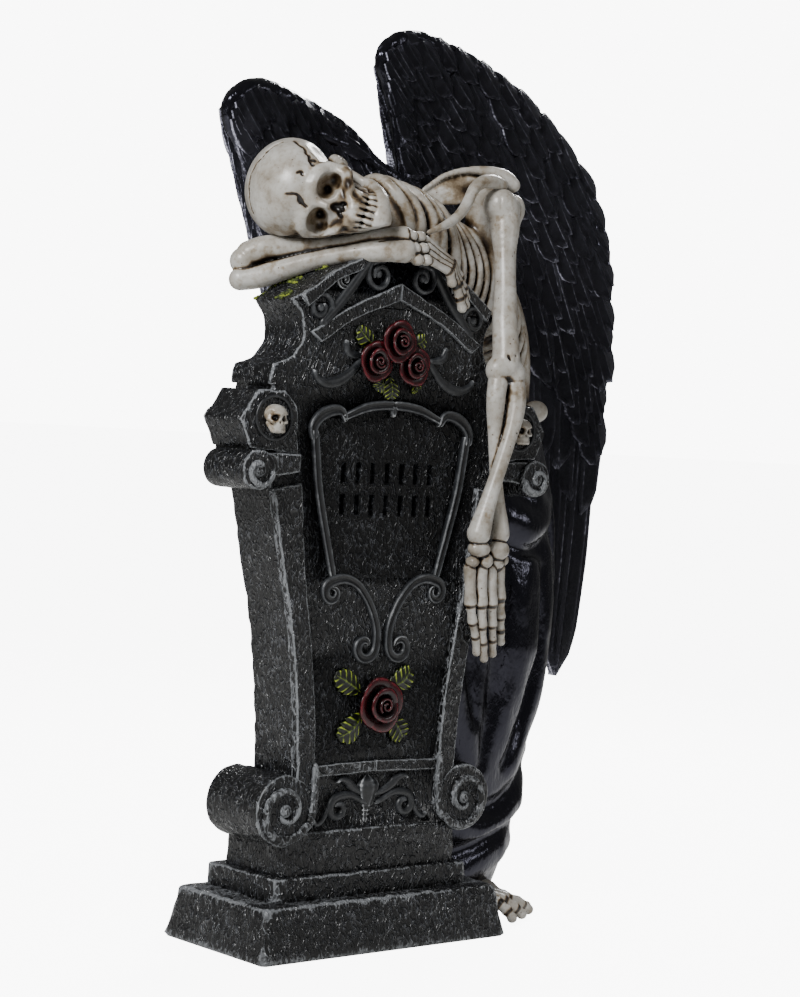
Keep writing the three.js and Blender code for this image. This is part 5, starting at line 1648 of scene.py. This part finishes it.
def petalSheet(place, around, span, low, high, height, curl, rows=13, columns=17):
    u, v = np.linspace(-1, 1, columns)[None, :], np.linspace(0, 1, rows)[:, None]
    angle = math.radians(around) + u * math.radians(span) / 2
    tip = 1 - 0.16 * np.abs(u) ** 3 + 0.05 * np.exp(-(u / 0.22) ** 2)
    rho = low + (high - low) * v ** 0.8 * tip + curl * np.clip(v - 0.72, 0, 1) * 3.4 * (1 - 0.4 * u * u)
    rise = height * (np.sin(v * 1.75) ** 1.1) * (1 - 0.12 * np.abs(u) ** 2)
    made = np.stack([place[0] + rho * np.cos(angle), place[1] - rise, place[2] + rho * np.sin(angle)], -1)
    inward = np.stack([-np.cos(angle), -0.35 + 0 * angle, -np.sin(angle)], -1) * np.ones((rows, 1, 1))
    # painted shade at the petal's foot and a painted highlight at its lip
    shade = np.clip(v ** 4 * 1.05 + 0.18 * v + 0 * u, 0, 1)
    return made, inward, shade


def buildRoses():
    v = roseValues
    parts, edges = [], []

    def add(made, inward, shade):
        thick = v["thickness"] * (1 - 0.35 * shade)[..., None]
        parts.append(sheetMesh(made + inward * thick * 0.5, made - inward * thick * 0.5))
        edges.append(np.concatenate([shade.ravel(), (shade * 0.8).ravel()]))

    for x, z, r, spin, lift in v["roses"]:
        at = np.array([x, v["plane"] - 0.3 - lift, z])
        for i in range(4):
            add(*petalSheet(at, spin + i * 90, 118, 0.2 * r, 0.84 * r, 0.4 * r, 0.13 * r))
        for i in range(3):
            add(*petalSheet(at - (0, 0.05 * r, 0), spin + 50 + i * 120, 150, 0.16 * r, 0.55 * r, 0.58 * r, 0.07 * r))
        wound = 2.9 * math.pi
        turns = np.linspace(0, wound, 56)[None, :]
        up = np.linspace(0, 1, 9)[:, None]
        rho = (0.06 + 0.22 * turns / wound) * r * (0.9 + 0.2 * up)
        heart = np.stack([x + rho * np.cos(turns + spin), at[1] - r * (0.1 + 0.62 * up) + 0 * turns,
                          z + rho * np.sin(turns + spin)], -1)
        inward = np.stack([-np.cos(turns + spin), 0 * turns, -np.sin(turns + spin)], -1) * np.ones((len(up), 1, 1))
        # painted shade low in the rolled heart, a painted highlight at its top
        add(heart, inward, up ** 4 + 0 * turns)
    roses = meshObject("roses", *joinedMesh(parts), finishes["rose"], fixNormals=True)
    setAttribute(roses, "edge", np.concatenate(edges))
    finishPiece(roses)


# Toothed leaves around the roses, veined like a fish bone
leafValues = {
    "leaves": [(-8, 84, -20, 90.5, 3.8), (-7, 77, -17.5, 69, 4), (4, 85, 13.5, 91.8, 3.8), (5, 76, 11.5, 67.6, 3.9),
               (-9, 197, -18, 203.6, 3), (4, 199, 12, 202, 2.6), (-3, 188, -2, 180, 3.2), (-6, 188, -9.5, 183.5, 2.4),
               (8, 187, 10, 184, 2)],
    "plane": panelFront, "teeth": 5,
}


def buildLeaves():
    v = leafValues
    parts, edges = [], []
    for n, (x0, z0, x1, z1, half) in enumerate(v["leaves"]):
        t, u = np.linspace(0, 1, 41)[:, None], np.linspace(-1, 1, 25)[None, :]
        saw = (t * v["teeth"] + 0.15) % 1
        wide = half * np.sin(math.pi * np.clip(t, 0, 1) ** 0.85) ** 0.65 * (0.8 + 0.34 * saw) + 0.12
        length = math.hypot(x1 - x0, z1 - z0)
        dx, dz = (x1 - x0) / length, (z1 - z0) / length
        lean = np.abs(u) * wide * 0.55
        along = t * length * 0.93 + lean
        bend = 1.2 * math.sin(n * 2.1) * np.sin(math.pi * t)
        x = x0 + dx * along - dz * (u * wide + bend)
        z = z0 + dz * along + dx * (u * wide + bend)
        vein = np.clip(np.cos(2 * math.pi * (t * v["teeth"] - 0.3)), 0, 1) ** 2 * np.clip(np.abs(u) * 1.4 + 0.2, 0, 1)
        rib = np.exp(-(u / 0.12) ** 2)
        y = v["plane"] - 0.35 - 1.15 * np.sin(math.pi * t) * (1 - 0.45 * u ** 2) - 0.42 * vein - 0.35 * rib - 0.5 * t
        front = np.stack(np.broadcast_arrays(x, y, z), -1)
        back = front.copy()
        back[..., 1] = np.maximum(back[..., 1] + 0.8, v["plane"] - 0.25)
        parts.append(sheetMesh(front, back))
        shade = np.clip(0.15 + 0.75 * vein + 0.5 * rib + 0.35 * np.abs(u) ** 6, 0, 1)
        edges.append(np.concatenate([shade.ravel(), np.zeros(shade.size)]))
    leaves = meshObject("roseLeaves", *joinedMesh(parts), finishes["leaf"], fixNormals=True)
    setAttribute(leaves, "edge", np.concatenate(edges))
    finishPiece(leaves)


# Geometry Nodes: moss tufts scattered over a patch of the stone
mossValues = {
    "low": (-56, -13, 205), "high": (-22, 8, 230),  # corners in mm of the box the moss may grow in
    "patch": -0.3, "perSquareMm": 1.3, "size": 0.85, "variation": 0.45, "seed": 11,
}


def mossTree(tuft, material):
    tree, given = newTree("moss tufts", ("Density", "Size", "Size variation"))
    spread = addNode(tree, "GeometryNodeDistributePointsOnFaces", Mesh=given["Geometry"], Density=given["Density"],
                     Seed=given["Seed"])
    spin = addNode(tree, "FunctionNodeRandomValue", {"data_type": "FLOAT_VECTOR", "at:1": (6.3, 6.3, 6.3)})
    tree.links.new(given["Seed"], spin.inputs["Seed"])
    return setOnPoints(tree, given, spread.outputs["Points"], spin.outputs[0], tuft, material)


def buildMoss(stone):
    v = mossValues
    points = positionsOf(stone)
    patches = waviness(points, 7, 71)
    inside = ((points > v["low"]) & (points < v["high"])).all(1) & (patches > v["patch"])
    faces = [tuple(p.vertices) for p in stone.data.polygons if inside[list(p.vertices)].all() and p.normal.z > -0.2]
    bed = meshObject("moss", points, faces, finishes["moss"])
    ball = bpy.data.meshes.new("tuftSource")
    t, a = np.linspace(0, math.pi, 6), circle(8)
    rings = [[(math.sin(p) * math.cos(q) * (1 + 0.25 * math.sin(3 * q + 5 * p)), math.sin(p) * math.sin(q),
               math.cos(p) * 1.3) for q in a] for p in t[1:-1]]
    verts, faces = tubeMesh(np.array(rings))
    ball.from_pydata((np.array(verts) * 0.5).tolist(), [], [tuple(f) for f in faces])
    tuft = linkedObject("tuftSource", ball)
    grow(bed, mossTree(tuft, finishes["moss"]), {"Density": v["perSquareMm"] / mm ** 2, "Size": v["size"] * mm,
         "Size variation": v["variation"], "Seed": v["seed"]})
    bpy.data.objects.remove(tuft)
    finishPiece(bed)


buildMedallions()
buildRoses()
buildLeaves()
buildMoss(bpy.data.objects["gravestone"])
print("medallions, roses and moss made")
